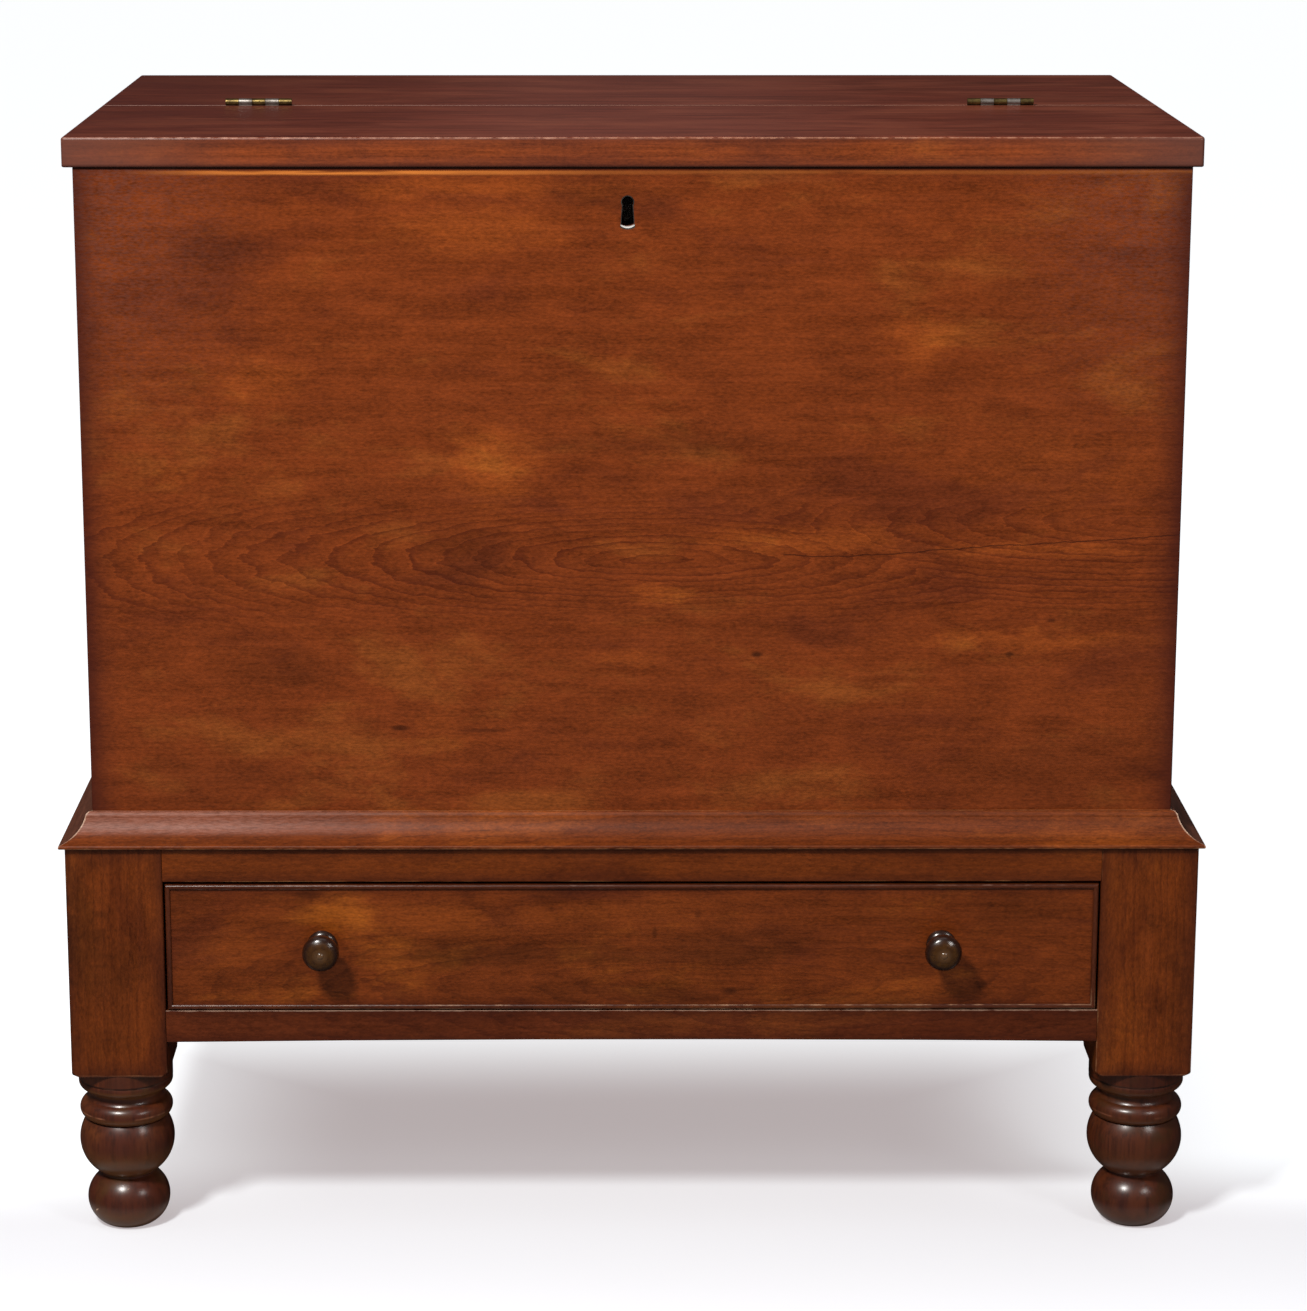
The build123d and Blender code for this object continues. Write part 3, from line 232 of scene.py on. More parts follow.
def makeWoodFigure():
    # growth rings cut by the board, and the uneven depth of the stain: clouds, mottling, streaks and fine dust
    tree, given, wanted = newGroup(
        "woodFigure",
        [("Position", "Vector", (0, 0, 0)), ("Centre", "Vector", (0, 0, 0)), ("Second Centre", "Vector", (90, 0, 0)),
         ("Second Start", "Float", 0.0), ("Stretch", "Float", 6.0), ("Ring Width", "Float", 0.007),
         ("Wander", "Float", 0.01), ("Reach", "Float", 0.07), ("Outside", "Float", 0.25),
         ("Mottle Strength", "Float", 0.7), ("Streak Strength", "Float", 0.5), ("Swell", "Float", 0.3)],
        [("Rings", "Float"), ("Streaks", "Float"), ("Clouds", "Float"), ("Shade", "Float"), ("Height", "Float")])
    place = given["Position"]

    def scaled(kind, offset=(0, 0, 0)):
        return stretched(tree, place, figureShape[kind], offset)

    def centred(value):
        return calc(tree, "SUBTRACT", value, 0.5)

    reaches = []
    for centre in ("Second Centre", "Centre"):
        parts = split(tree, vectorCalc(tree, "SUBTRACT", place, given[centre]))
        flat = join(tree, calc(tree, "DIVIDE", parts[0], given["Stretch"]), parts[1], parts[2])
        reaches.append(vectorCalc(tree, "LENGTH", flat))
    radius = calc(tree, "MINIMUM", calc(tree, "ADD", reaches[0], given["Second Start"]), reaches[1])
    drift = product(tree, centred(noise(tree, scaled("slow"), 1.0, 3.0, 0.6)), given["Wander"])
    jitter = product(tree, centred(noise(tree, scaled("quick"), 1.0, 3.0, 0.6)), given["Ring Width"],
                     figureShape["jitter"])
    ring = calc(tree, "DIVIDE", calc(tree, "ADD", calc(tree, "ADD", radius, drift), jitter), given["Ring Width"])
    part = calc(tree, "FRACT", ring)
    rise = ramp(tree, part, 0.3, figureShape["lineAt"])
    fall = ramp(tree, part, figureShape["lineAt"], 1.0, 1.0, 0.0)
    which = addNode(tree, "TexWhiteNoise", {"W": calc(tree, "FLOOR", ring)}, noise_dimensions="1D").outputs["Value"]
    # the figure shows near its centre, and less beyond its reach
    side = calc(tree, "ABSOLUTE", parts[1])
    inside = ramp(tree, side, product(tree, given["Reach"], 0.45), product(tree, given["Reach"], 1.5), 1.0,
                  given["Outside"])
    patch = ramp(tree, noise(tree, scaled("patches", (3.1, 7.7, 1.3)), 1.0, 2.0), 0.36, 0.6, 0.7, 1.0)
    strength = ramp(tree, which, 0.1, 1.0, 0.4, 1.0, False)
    line = product(tree, calc(tree, "POWER", rise, 3.0), fall, strength, inside, patch)
    tree.links.new(line, wanted["Rings"])
    # each ring starts pale and darkens towards its line
    swell = calc(tree, "ADD", ramp(tree, part, 0.0, 0.12, 0.16, 0.0), ramp(tree, part, 0.2, 1.0, 0.04, -0.14, False))
    swell = product(tree, swell, inside)
    fine = noise(tree, scaled("fine"), 1.0, 4.0, 0.7)
    broad = noise(tree, scaled("broad", (1.0, 2.0, 3.0)), 1.0, 4.0, 0.6)
    streaks = calc(tree, "ADD", product(tree, fine, figureShape["fineShare"]),
                   product(tree, broad, 1.0 - figureShape["fineShare"]))
    tree.links.new(streaks, wanted["Streaks"])
    tree.links.new(noise(tree, scaled("clouds", (4.0, 1.7, 2.2)), 1.0, 6.0, 0.62, 0.3), wanted["Clouds"])
    mottle = noise(tree, scaled("mottle", (0.4, 3.3, 5.0)), 1.0, 6.0, 0.68, 0.4)
    dust = noise(tree, scaled("dust"), 1.0, 2.0, 0.7)
    shade = product(tree, centred(mottle), given["Mottle Strength"])
    shade = calc(tree, "MULTIPLY_ADD", centred(streaks), given["Streak Strength"], shade)
    shade = calc(tree, "MULTIPLY_ADD", centred(dust), figureShape["dustStrength"], shade)
    shade = calc(tree, "MULTIPLY_ADD", swell, given["Swell"], shade)
    tree.links.new(calc(tree, "ADD", shade, 1.0), wanted["Shade"])
    tree.links.new(calc(tree, "SUBTRACT", product(tree, fine, 0.5), product(tree, line, 0.4)), wanted["Height"])
    return tree


def makeEdgeDistance():
    # how far a point on a board's face is from the nearest edge: the middle one of its three wall distances
    tree, given, wanted = newGroup(
        "edgeDistance",
        [("Position", "Vector", (0, 0, 0)), ("Low", "Vector", (0, 0, 0)), ("High", "Vector", (1, 1, 1))],
        [("Distance", "Float")])
    toLow = vectorCalc(tree, "SUBTRACT", given["Position"], given["Low"])
    toHigh = vectorCalc(tree, "SUBTRACT", given["High"], given["Position"])
    near = vectorCalc(tree, "MINIMUM", toLow, toHigh)
    x, y, z = split(tree, near)
    larger = calc(tree, "MAXIMUM", x, y)
    middle = calc(tree, "MAXIMUM", calc(tree, "MINIMUM", x, y), calc(tree, "MINIMUM", larger, z))
    tree.links.new(middle, wanted["Distance"])
    return tree


def makeEdgeWear():
    # a thin pale line that comes and goes along an edge, wear and a painted highlight, and a darkening beside an edge,
    # dark polish and painted shade
    tree, given, wanted = newGroup(
        "edgeWear",
        [("Position", "Vector", (0, 0, 0)), ("Distance", "Float", 1.0), ("Width", "Float", 0.0012),
         ("Coverage", "Float", 0.5), ("Grime Width", "Float", 0.015)],
        [("Worn", "Float"), ("Grime", "Float")])
    ragged = noise(tree, given["Position"], 90.0, 3.0, 0.6)
    patchy = noise(tree, given["Position"], 13.0, 2.0, 0.5)
    reach = product(tree, given["Width"], ramp(tree, ragged, 0.25, 0.75, 0.2, 1.6, False))
    line = calc(tree, "SUBTRACT", 1.0, calc(tree, "DIVIDE", given["Distance"], reach), clamp=True)
    start = calc(tree, "SUBTRACT", 0.72, product(tree, given["Coverage"], 0.5))
    there = calc(tree, "MULTIPLY", calc(tree, "SUBTRACT", patchy, start), 9.0, clamp=True)
    tree.links.new(product(tree, line, there), wanted["Worn"])
    soft = product(tree, given["Grime Width"], ramp(tree, patchy, 0.25, 0.75, 0.4, 1.5, False))
    dark = calc(tree, "SUBTRACT", 1.0, calc(tree, "DIVIDE", given["Distance"], soft), clamp=True)
    tree.links.new(calc(tree, "POWER", dark, 1.6), wanted["Grime"])
    return tree


def makeSpecks():
    # small pale nicks and specks, scattered singly
    tree, given, wanted = newGroup(
        "specks",
        [("Position", "Vector", (0, 0, 0)), ("Scale", "Float", 30.0), ("Size", "Float", 0.05), ("Share", "Float", 0.3)],
        [("Specks", "Float")])
    cells = addNode(tree, "TexVoronoi", {"Vector": given["Position"], "Scale": given["Scale"]})
    pick = addNode(tree, "SeparateColor", {0: cells.outputs["Color"]}).outputs[0]
    chosen = calc(tree, "LESS_THAN", pick, given["Share"])
    small = calc(tree, "LESS_THAN", cells.outputs["Distance"], product(tree, given["Size"], pick))
    tree.links.new(product(tree, chosen, small), wanted["Specks"])
    return tree


woodFigure = makeWoodFigure()
edgeDistance = makeEdgeDistance()
edgeWear = makeEdgeWear()
specks = makeSpecks()
print("shared effects made")

# woods

woodLooks = {
    # colours as on a screen; lengths in metres
    "caseFrontWood": {
        "grain": "x", "light": "7c4016", "mid": "692d0e", "dark": "4e1f0e", "line": "45180a", "worn": "a8652f",
        "grimeColour": "471c10", "centre": (0.024, -0.233, 0.551), "second": (0.40, -0.233, 0.580),
        "secondStart": -0.014, "stretch": 6.3, "ringWidth": 0.0046, "wander": 0.008, "reach": 0.046, "outside": 0.0,
        "swell": 0.8, "lineStrength": 0.68, "mottle": 1.15, "streak": 0.95, "rough": 0.33, "shine": 0.16,
        "coverage": 0.25, "wearWidth": 0.0012, "grimeWidth": 0.014, "inside": (0, 1, 0)},
    "caseSideWood": {
        "grain": "y", "light": "82401a", "mid": "682c10", "dark": "4a1c0d", "line": "3f160a", "worn": "a8652f",
        "grimeColour": "471c10", "centre": (0.43, 0.05, 0.6), "stretch": 5.0, "ringWidth": 0.0055, "wander": 0.014,
        "reach": 0.07, "outside": 0.1, "lineStrength": 0.7, "mottle": 0.94, "streak": 1.20, "rough": 0.35,
        "shine": 0.25, "coverage": 0.35, "wearWidth": 0.0012, "grimeWidth": 0.016, "inside": "towardsMiddle"},
    "topWood": {
        "grain": "x", "light": "8c4616", "mid": "743310", "dark": "4e1f10", "line": "3a1610", "worn": "c98f68",
        "grimeColour": "42201a", "centre": (0.1, -0.1, 0.80), "stretch": 7.0, "ringWidth": 0.006, "wander": 0.014,
        "reach": 0.06, "outside": 0.35, "lineStrength": 0.5, "mottle": 0.90, "streak": 2.60, "rough": 0.36,
        "shine": 0.3, "coverage": 1.15, "wearWidth": 0.0013, "grimeWidth": 0.016, "inside": (0, 0, -1)},
    "mouldingWood": {
        "grain": "x", "light": "824014", "mid": "602a0c", "dark": "40190b", "line": "37140b", "worn": "b87a4e",
        "grimeColour": "38150c", "centre": (0.2, -0.26, 0.30), "stretch": 9.0, "ringWidth": 0.005, "wander": 0.012,
        "reach": 0.05, "outside": 0.5, "lineStrength": 0.35, "mottle": 0.81, "streak": 1.60, "rough": 0.45,
        "shine": 0.15, "coverage": 1.0, "wearWidth": 0.0012, "grimeWidth": 0.003, "inside": (0, 0, 0)},
    # the stand's woods are darker than the case's, partly a painted shade for light that falls off lower down
    "standWood": {
        "grain": "x", "light": "7a3a0c", "mid": "5f2908", "dark": "3e1606", "line": "2e0f08", "worn": "a36c40",
        "grimeColour": "30110a", "centre": (-0.1, -0.24, 0.20), "stretch": 8.0, "ringWidth": 0.005, "wander": 0.012,
        "reach": 0.05, "outside": 0.5, "lineStrength": 0.35, "mottle": 0.94, "streak": 1.00, "rough": 0.36,
        "shine": 0.14, "coverage": 0.45, "wearWidth": 0.0010, "grimeWidth": 0.014, "inside": (0, 1, 0)},
    "drawerFrontWood": {
        "grain": "x", "light": "82410f", "mid": "60290a", "dark": "3e160a", "line": "2e1108", "worn": "a36c40",
        "grimeColour": "3a150c", "centre": (0.05, -0.25, 0.21), "stretch": 7.0, "ringWidth": 0.005, "wander": 0.016,
        "reach": 0.05, "outside": 0.4, "lineStrength": 0.3, "mottle": 1.25, "streak": 1.20, "rough": 0.34,
        "shine": 0.15, "coverage": 0.3, "wearWidth": 0.0008, "grimeWidth": 0.014, "inside": (0, 1, 0)},
    "beadWood": {
        "grain": "x", "light": "62300f", "mid": "471e0b", "dark": "2c1008", "line": "280e07", "worn": "b98a64",
        "grimeColour": "280e08", "centre": (0.0, -0.25, 0.2), "stretch": 9.0, "ringWidth": 0.006, "wander": 0.01,
        "reach": 0.05, "outside": 0.5, "lineStrength": 0.2, "mottle": 0.81, "streak": 1.20, "rough": 0.30,
        "shine": 0.45, "coverage": 0.62, "wearWidth": 0.0010, "grimeWidth": 0.002, "inside": (0, 0, 0)},
    "bareWood": {
        "grain": "x", "light": "a87d4f", "mid": "8d6238", "dark": "6b4526", "line": "5f3a1e", "worn": "b89468",
        "grimeColour": "5b3b22", "centre": (0.0, 0.0, 0.3), "stretch": 6.0, "ringWidth": 0.008, "wander": 0.02,
        "reach": 0.2, "outside": 0.6, "lineStrength": 0.5, "mottle": 0.68, "streak": 1.40, "rough": 0.75,
        "shine": 0.3, "coverage": 0.3, "wearWidth": 0.0012, "grimeWidth": 0.02, "inside": (0, 0, 0)},
}


sharedFinish = {
    "lightShare": 0.65, "darkShare": 0.5, "wornShare": 0.8, "grimeShare": 0.6,
    "nickScale": 24.0, "nickSize": 0.055, "nickShare": 0.22, "nickStrength": 0.5, "nickColour": "c9a58a",
    "rawDark": "6d4a2c", "rawLight": "8f6a42", "rawLine": "54351d", "rawRough": 0.3,
    "waveScale": 9.0, "waveShare": 2.0, "bumpStrength": 0.35, "bumpDepth": 0.0004}
nowhere = (90, 90, 90)


def rgba(text):
    return (*hexColour(text), 1)


def reorder(vector, grain):
    # along the grain first, as woodFigure reads it
    x, y, z = vector
    return {"x": (x, z, y), "y": (y, z, x), "z": (z, x, y), "top": (x, y, z)}[grain]


def finishedColour(tree, look, figure):
    # stain over the wood: mid colour, light and dark clouds, then the shade and the ring lines
    light = ramp(tree, figure["Clouds"], 0.52, 0.68, 0.0, sharedFinish["lightShare"])
    dark = ramp(tree, figure["Clouds"], 0.47, 0.32, 0.0, sharedFinish["darkShare"])
    colour = blend(tree, light, rgba(look["mid"]), rgba(look["light"]))
    colour = blend(tree, dark, colour, rgba(look["dark"]))
    shade = addNode(tree, "CombineColor", {channel: figure["Shade"] for channel in range(3)}).outputs[0]
    colour = blend(tree, 1.0, colour, shade, "MULTIPLY")
    return blend(tree, product(tree, figure["Rings"], look["lineStrength"]), colour, rgba(look["line"]))


def rawFace(tree, look, figure, position, normal, colour):
    # the face that the polish never reached: its mask, and the colour with it
    if look["inside"] == "towardsMiddle":
        facing = product(tree, split(tree, position)[0], split(tree, normal)[0], -3.0)
    else:
        facing = vectorCalc(tree, "DOT_PRODUCT", normal, look["inside"])
    bare = ramp(tree, facing, 0.6, 0.8)
    streaks = ramp(tree, figure["Streaks"], 0.3, 0.7)
    raw = blend(tree, streaks, rgba(sharedFinish["rawDark"]), rgba(sharedFinish["rawLight"]))
    raw = blend(tree, product(tree, figure["Rings"], 0.5), raw, rgba(sharedFinish["rawLine"]))
    return bare, blend(tree, bare, colour, raw)


def makeWood(name, look, low, high, changes=None):
    look = {**look, **(changes or {})}
    material = bpy.data.materials.new(name)
    material.use_nodes = True
    tree = material.node_tree
    shader = tree.nodes["Principled BSDF"]
    coords = addNode(tree, "TexCoord").outputs
    position, normal = coords["Object"], coords["Normal"]
    grain = look["grain"]
    figure = useGroup(tree, woodFigure, {
        "Position": join(tree, *reorder(split(tree, position), grain)), "Centre": reorder(look["centre"], grain),
        "Second Centre": reorder(look.get("second", nowhere), grain), "Second Start": look.get("secondStart", 0.0),
        "Stretch": look["stretch"], "Ring Width": look["ringWidth"], "Wander": look["wander"],
        "Reach": look["reach"], "Outside": look["outside"], "Mottle Strength": look["mottle"],
        "Streak Strength": look["streak"], "Swell": look.get("swell", 0.3)})
    colour = finishedColour(tree, look, figure)
    distance = useGroup(tree, edgeDistance, {"Position": position, "Low": low, "High": high})["Distance"]
    wear = useGroup(tree, edgeWear, {"Position": position, "Distance": distance, "Width": look["wearWidth"],
                                     "Coverage": look["coverage"], "Grime Width": look["grimeWidth"]})
    # pale lines along the edges are wear and a painted highlight; the darkening beside them is dark polish and painted
    # shade
    worn = product(tree, wear["Worn"], sharedFinish["wornShare"])
    if "wornAbove" in look:
        worn = product(tree, worn, calc(tree, "GREATER_THAN", split(tree, position)[2], look["wornAbove"]))
    colour = blend(tree, product(tree, wear["Grime"], sharedFinish["grimeShare"]), colour, rgba(look["grimeColour"]))
    colour = blend(tree, worn, colour, rgba(look["worn"]))
    nicks = useGroup(tree, specks, {"Position": position, "Scale": sharedFinish["nickScale"],
                                    "Size": sharedFinish["nickSize"], "Share": sharedFinish["nickShare"]})["Specks"]
    colour = blend(tree, product(tree, nicks, sharedFinish["nickStrength"]), colour, rgba(sharedFinish["nickColour"]))
    unevenness = product(tree, calc(tree, "SUBTRACT", figure["Streaks"], 0.5), 0.25)
    rough = calc(tree, "ADD", calc(tree, "ADD", look["rough"], unevenness), product(tree, wear["Worn"], 0.2))
    if look["inside"] != (0, 0, 0):
        bare, colour = rawFace(tree, look, figure, position, normal, colour)
        rough = calc(tree, "ADD", rough, product(tree, bare, sharedFinish["rawRough"]))
    tree.links.new(colour, shader.inputs["Base Color"])
    tree.links.new(rough, shader.inputs["Roughness"])
    wave = noise(tree, position, sharedFinish["waveScale"], 2.0)
    height = calc(tree, "ADD", figure["Height"], product(tree, wave, sharedFinish["waveShare"]))
    bump = addNode(tree, "Bump", {"Height": height, "Strength": sharedFinish["bumpStrength"],
                                  "Distance": sharedFinish["bumpDepth"]})
    tree.links.new(bump.outputs["Normal"], shader.inputs["Normal"])
    shader.inputs["Specular IOR Level"].default_value = look["shine"]
    return material, tree, shader, {"position": position, "normal": normal, "colour": colour, "rough": rough,
                                    "figure": figure, "worn": worn}


def dress(node, material):
    mesh = nodes[node].data
    mesh.materials.clear()
    mesh.materials.append(material)


def boardWood(node, lookName, changes=None):
    low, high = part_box(node)
    material, tree, shader, made = makeWood(node + "Finish", woodLooks[lookName], low, high, changes)
    dress(node, material)
    return tree, shader, made


# the returns are a little greyer than the front length, partly a painted sheen of grazing light
mouldingReturn = {
    "grain": "y", "light": "70432f", "mid": "573122", "dark": "3a1e14", "grimeColour": "2c170f", "worn": "a08a72",
    "shine": 0.5, "rough": 0.38}
boards = {
    "case_front": ("caseFrontWood", None),
    "case_side_left": ("caseSideWood", {"centre": (-0.43, 0.02, 0.55)}),
    "case_side_right": ("caseSideWood", {"centre": (0.43, -0.08, 0.66)}),
    "case_back": ("caseSideWood", {"grain": "x", "centre": (0.1, 0.29, 0.6), "inside": (0, -1, 0)}),
    "waist_moulding_front": ("mouldingWood", None),
    "waist_moulding_left": ("mouldingWood", mouldingReturn),
    "waist_moulding_right": ("mouldingWood", mouldingReturn),
    "stand_upper_rail": ("standWood", None),
    "stand_lower_rail": ("standWood", {"centre": (0.15, -0.24, 0.19), "light": "66300e", "mid": "50210b",
                                       "worn": "9a7c68", "wornAbove": 0.185, "coverage": 1.1}),
    "stand_side_left": ("standWood", {"grain": "y", "inside": "towardsMiddle"}),
    "stand_side_right": ("standWood", {"grain": "y", "inside": "towardsMiddle"}),
    "stand_back": ("standWood", {"inside": (0, -1, 0)}),
    "drawer_front": ("drawerFrontWood", None),
    "cock_bead_top": ("beadWood", {"coverage": 0.45, "worn": "9c7462"}),
    "cock_bead_bottom": ("beadWood", None),
    "cock_bead_left": ("beadWood", {"grain": "z"}),
    "cock_bead_right": ("beadWood", {"grain": "z"}),
    "drawer_side_left": ("bareWood", {"grain": "y"}),
    "drawer_side_right": ("bareWood", {"grain": "y"}),
    "drawer_back": ("bareWood", None),
    "drawer_floor": ("bareWood", {"grain": "top"}),
    "drawer_runner_left": ("bareWood", {"grain": "y"}),
    "drawer_runner_right": ("bareWood", {"grain": "y"}),
    "drawer_guide_left": ("bareWood", {"grain": "y"}),
    "drawer_guide_right": ("bareWood", {"grain": "y"}),
    "drawer_kicker_left": ("bareWood", {"grain": "y"}),
    "drawer_kicker_right": ("bareWood", {"grain": "y"}),
    "drawer_stops": ("bareWood", None),
    "case_bottom_front": ("bareWood", {"grain": "top"}),
    "case_bottom_rear": ("bareWood", {"grain": "top"}),
    "case_bottom_cleats": ("bareWood", None),
    "bin_divider": ("bareWood", {"grain": "y", "centre": (0.14, 0.0, 0.55)}),
    "top_glue_blocks": ("bareWood", None),
}
dressed = {name: boardWood(name, lookName, changes) for name, (lookName, changes) in boards.items()}
print("boards dressed:", len(boards))

# the case's front: an orange arris under the lid, worn and painted as a highlight, a painted shadow in the gap above
# it, painted reflection in its upper corners, painted shade at its side edges, and its patches and knots

frontLook = {
    "top": 0.8545, "gap": 0.0020, "gapColour": "1c0703", "arris": 0.0050, "arrisColour": "c06f2e",
    "arrisRise": (-0.40, -0.26), "arrisFall": (-0.24, 0.02), "arrisLeast": 0.2,
    "veil": "5e3c36", "veilFrom": 0.25, "veilTo": 0.425, "veilShare": 0.4, "veilHeight": (0.60, 0.84),
    "edge": "35130f", "edgeFrom": 0.395, "edgeTo": 0.431, "edgeShare": 0.7,
    "crack": "2a0f08", "crackWidth": 0.0007, "crackShare": 0.7, "crackWobble": 0.004}
# how a patch changes the light of the wood under it
markTints = {"light": (1.72, 1.92, 1.5), "dark": (0.52, 0.57, 0.67), "knot": (0.16, 0.2, 0.4)}
markWander = 0.022
frontMarks = [
    # colour, strength, middle x and z, half width and half height
    ("light", 0.45, -0.116, 0.806, 0.075, 0.020), ("light", 0.50, 0.220, 0.721, 0.030, 0.022),
    ("light", 0.40, -0.284, 0.692, 0.042, 0.018), ("light", 0.55, -0.108, 0.622, 0.036, 0.040),
    ("light", 0.35, -0.353, 0.619, 0.012, 0.012), ("light", 0.65, 0.026, 0.523, 0.032, 0.008),
    ("light", 0.55, 0.136, 0.565, 0.085, 0.011), ("light", 0.40, 0.316, 0.558, 0.100, 0.007),
    ("light", 0.50, 0.315, 0.486, 0.110, 0.008), ("light", 0.35, -0.001, 0.471, 0.030, 0.006),
    ("light", 0.25, 0.330, 0.620, 0.075, 0.035), ("light", 0.40, -0.119, 0.841, 0.130, 0.012),
    ("light", 0.25, -0.150, 0.410, 0.020, 0.030), ("dark", 0.30, 0.339, 0.378, 0.115, 0.036),
    ("dark", 0.25, -0.330, 0.372, 0.090, 0.030), ("dark", 0.40, -0.129, 0.556, 0.032, 0.028),
    ("dark", 0.45, 0.019, 0.643, 0.100, 0.009), ("dark", 0.55, -0.016, 0.832, 0.055, 0.013),
    ("dark", 0.35, -0.270, 0.466, 0.055, 0.018), ("dark", 0.35, -0.322, 0.794, 0.038, 0.018),
    ("knot", 0.80, 0.097, 0.475, 0.0050, 0.0026), ("knot", 0.70, 0.294, 0.475, 0.0042, 0.0020),
    ("knot", 0.60, 0.326, 0.502, 0.0042, 0.0018), ("knot", 0.50, -0.116, 0.414, 0.0230, 0.0018),
    ("knot", 0.70, -0.181, 0.416, 0.0075, 0.0026),
]
frontCrack = [(0.117, 0.554), (0.168, 0.553), (0.277, 0.561), (0.368, 0.566), (0.425, 0.570)]


def addMarks(tree, place, colour, marks):
    # soft patches with ragged outlines; knots keep theirs
    ragged = addNode(tree, "TexNoise", {"Vector": stretched(tree, place, (22.0, 22.0, 60.0)), "Scale": 1.0,
                                        "Detail": 5.0, "Roughness": 0.7}).outputs["Color"]
    shift = vectorCalc(tree, "SUBTRACT", ragged, (0.5, 0.5, 0.5))
    shift = vectorCalc(tree, "MULTIPLY", shift, (markWander * 4, 0, markWander * 1.8))
    bent = vectorCalc(tree, "ADD", place, shift)
    for kind, strength, middleX, middleZ, halfX, halfZ in marks:
        off = vectorCalc(tree, "SUBTRACT", place if kind == "knot" else bent, (middleX, 0, middleZ))
        span = vectorCalc(tree, "LENGTH", vectorCalc(tree, "MULTIPLY", off, (1 / halfX, 0, 1 / halfZ)))
        mask = ramp(tree, span, 0.3, 1.3, strength, 0.0)
        colour = blend(tree, mask, colour, (*markTints[kind], 1), "MULTIPLY")
    return colour


def lineBetween(tree, x, z, start, end, halfWidth):
    # a mask along a nearly level line from start to end
    slope = (end[1] - start[1]) / (end[0] - start[0])
    off = calc(tree, "SUBTRACT", z, calc(tree, "MULTIPLY_ADD", x, slope, start[1] - slope * start[0]))
    mask = ramp(tree, calc(tree, "ABSOLUTE", off), halfWidth, halfWidth * 0.3)
    return product(tree, mask, calc(tree, "GREATER_THAN", x, start[0]), calc(tree, "LESS_THAN", x, end[0]))


def finishCaseFront():
    tree, shader, front = dressed["case_front"]
    place = front["position"]
    x, _, z = split(tree, place)
    fromMiddle = calc(tree, "ABSOLUTE", x)
    colour = addMarks(tree, place, front["colour"], frontMarks)
    wobble = noise(tree, stretched(tree, place, (60.0, 1.0, 1.0)), 1.0, 3.0, 0.6)
    level = calc(tree, "SUBTRACT", z, frontLook["crackWobble"] / 2)
    level = calc(tree, "MULTIPLY_ADD", wobble, frontLook["crackWobble"], level)
    for start, end in zip(frontCrack, frontCrack[1:]):
        crack = lineBetween(tree, x, level, start, end, frontLook["crackWidth"])
        colour = blend(tree, product(tree, crack, frontLook["crackShare"]), colour, rgba(frontLook["crack"]))
    # upper corners greyed by a painted reflection, and side edges darkened by painted shade
    veil = ramp(tree, fromMiddle, frontLook["veilFrom"], frontLook["veilTo"], 0.0, frontLook["veilShare"])
    weave = noise(tree, stretched(tree, place, (240.0, 240.0, 700.0)), 1.0, 2.0, 0.6)
    veil = product(tree, veil, ramp(tree, z, *frontLook["veilHeight"]), ramp(tree, weave, 0.35, 0.65))
    colour = blend(tree, veil, colour, rgba(frontLook["veil"]))
    edge = ramp(tree, fromMiddle, frontLook["edgeFrom"], frontLook["edgeTo"], 0.0, frontLook["edgeShare"])
    colour = blend(tree, edge, colour, rgba(frontLook["edge"]))
    # the arris under the lid is painted orange, partly wear and partly a painted highlight, most of all at the left,
    # and the gap above it is a painted shadow
    run = noise(tree, stretched(tree, place, (9.0, 9.0, 160.0)), 1.0, 3.0, 0.6)
    below = calc(tree, "SUBTRACT", frontLook["top"], z)
    arris = product(tree, ramp(tree, below, frontLook["gap"], frontLook["gap"] + 0.0008),
                    ramp(tree, below, frontLook["arris"] - 0.001, frontLook["arris"] + 0.0015, 1.0, 0.0),
                    ramp(tree, x, *frontLook["arrisRise"]),
                    ramp(tree, x, *frontLook["arrisFall"], 1.0, frontLook["arrisLeast"]),
                    ramp(tree, run, 0.34, 0.52, 0.15, 1.0))
    colour = blend(tree, arris, colour, rgba(frontLook["arrisColour"]))
    gap = ramp(tree, below, frontLook["gap"], frontLook["gap"] - 0.0009, 0.0, 0.9)
    colour = blend(tree, gap, colour, rgba(frontLook["gapColour"]))
    tree.links.new(colour, shader.inputs["Base Color"])


finishCaseFront()
print("case front finished")

# the drawer front's smudges and knots

drawerMarks = [
    # colour, strength, middle x and z, half width and half height
    ("light", 0.40, -0.167, 0.266, 0.127, 0.018), ("light", 0.35, -0.321, 0.241, 0.042, 0.020),
    ("light", 0.35, 0.215, 0.210, 0.048, 0.016), ("light", 0.30, -0.008, 0.274, 0.064, 0.012),
    ("dark", 0.55, -0.061, 0.236, 0.160, 0.009), ("dark", 0.40, -0.138, 0.238, 0.058, 0.019),
    ("dark", 0.55, 0.090, 0.241, 0.061, 0.015), ("dark", 0.50, 0.013, 0.204, 0.106, 0.010),
    ("dark", 0.35, 0.231, 0.200, 0.091, 0.008), ("dark", 0.45, -0.066, 0.287, 0.037, 0.007),
    ("dark", 0.40, -0.357, 0.285, 0.026, 0.017), ("dark", 0.35, 0.309, 0.273, 0.038, 0.017),
    ("knot", 0.45, -0.254, 0.286, 0.012, 0.005), ("knot", 0.60, 0.078, 0.206, 0.007, 0.0034),
    ("knot", 0.50, 0.276, 0.211, 0.0054, 0.0045), ("knot", 0.45, 0.018, 0.254, 0.0022, 0.0056),
    ("knot", 0.35, 0.052, 0.270, 0.0032, 0.0050), ("knot", 0.35, 0.281, 0.277, 0.0043, 0.0028),
]
tree, shader, drawer = dressed["drawer_front"]
tree.links.new(addMarks(tree, drawer["position"], drawer["colour"], drawerMarks), shader.inputs["Base Color"])
print("drawer front finished")
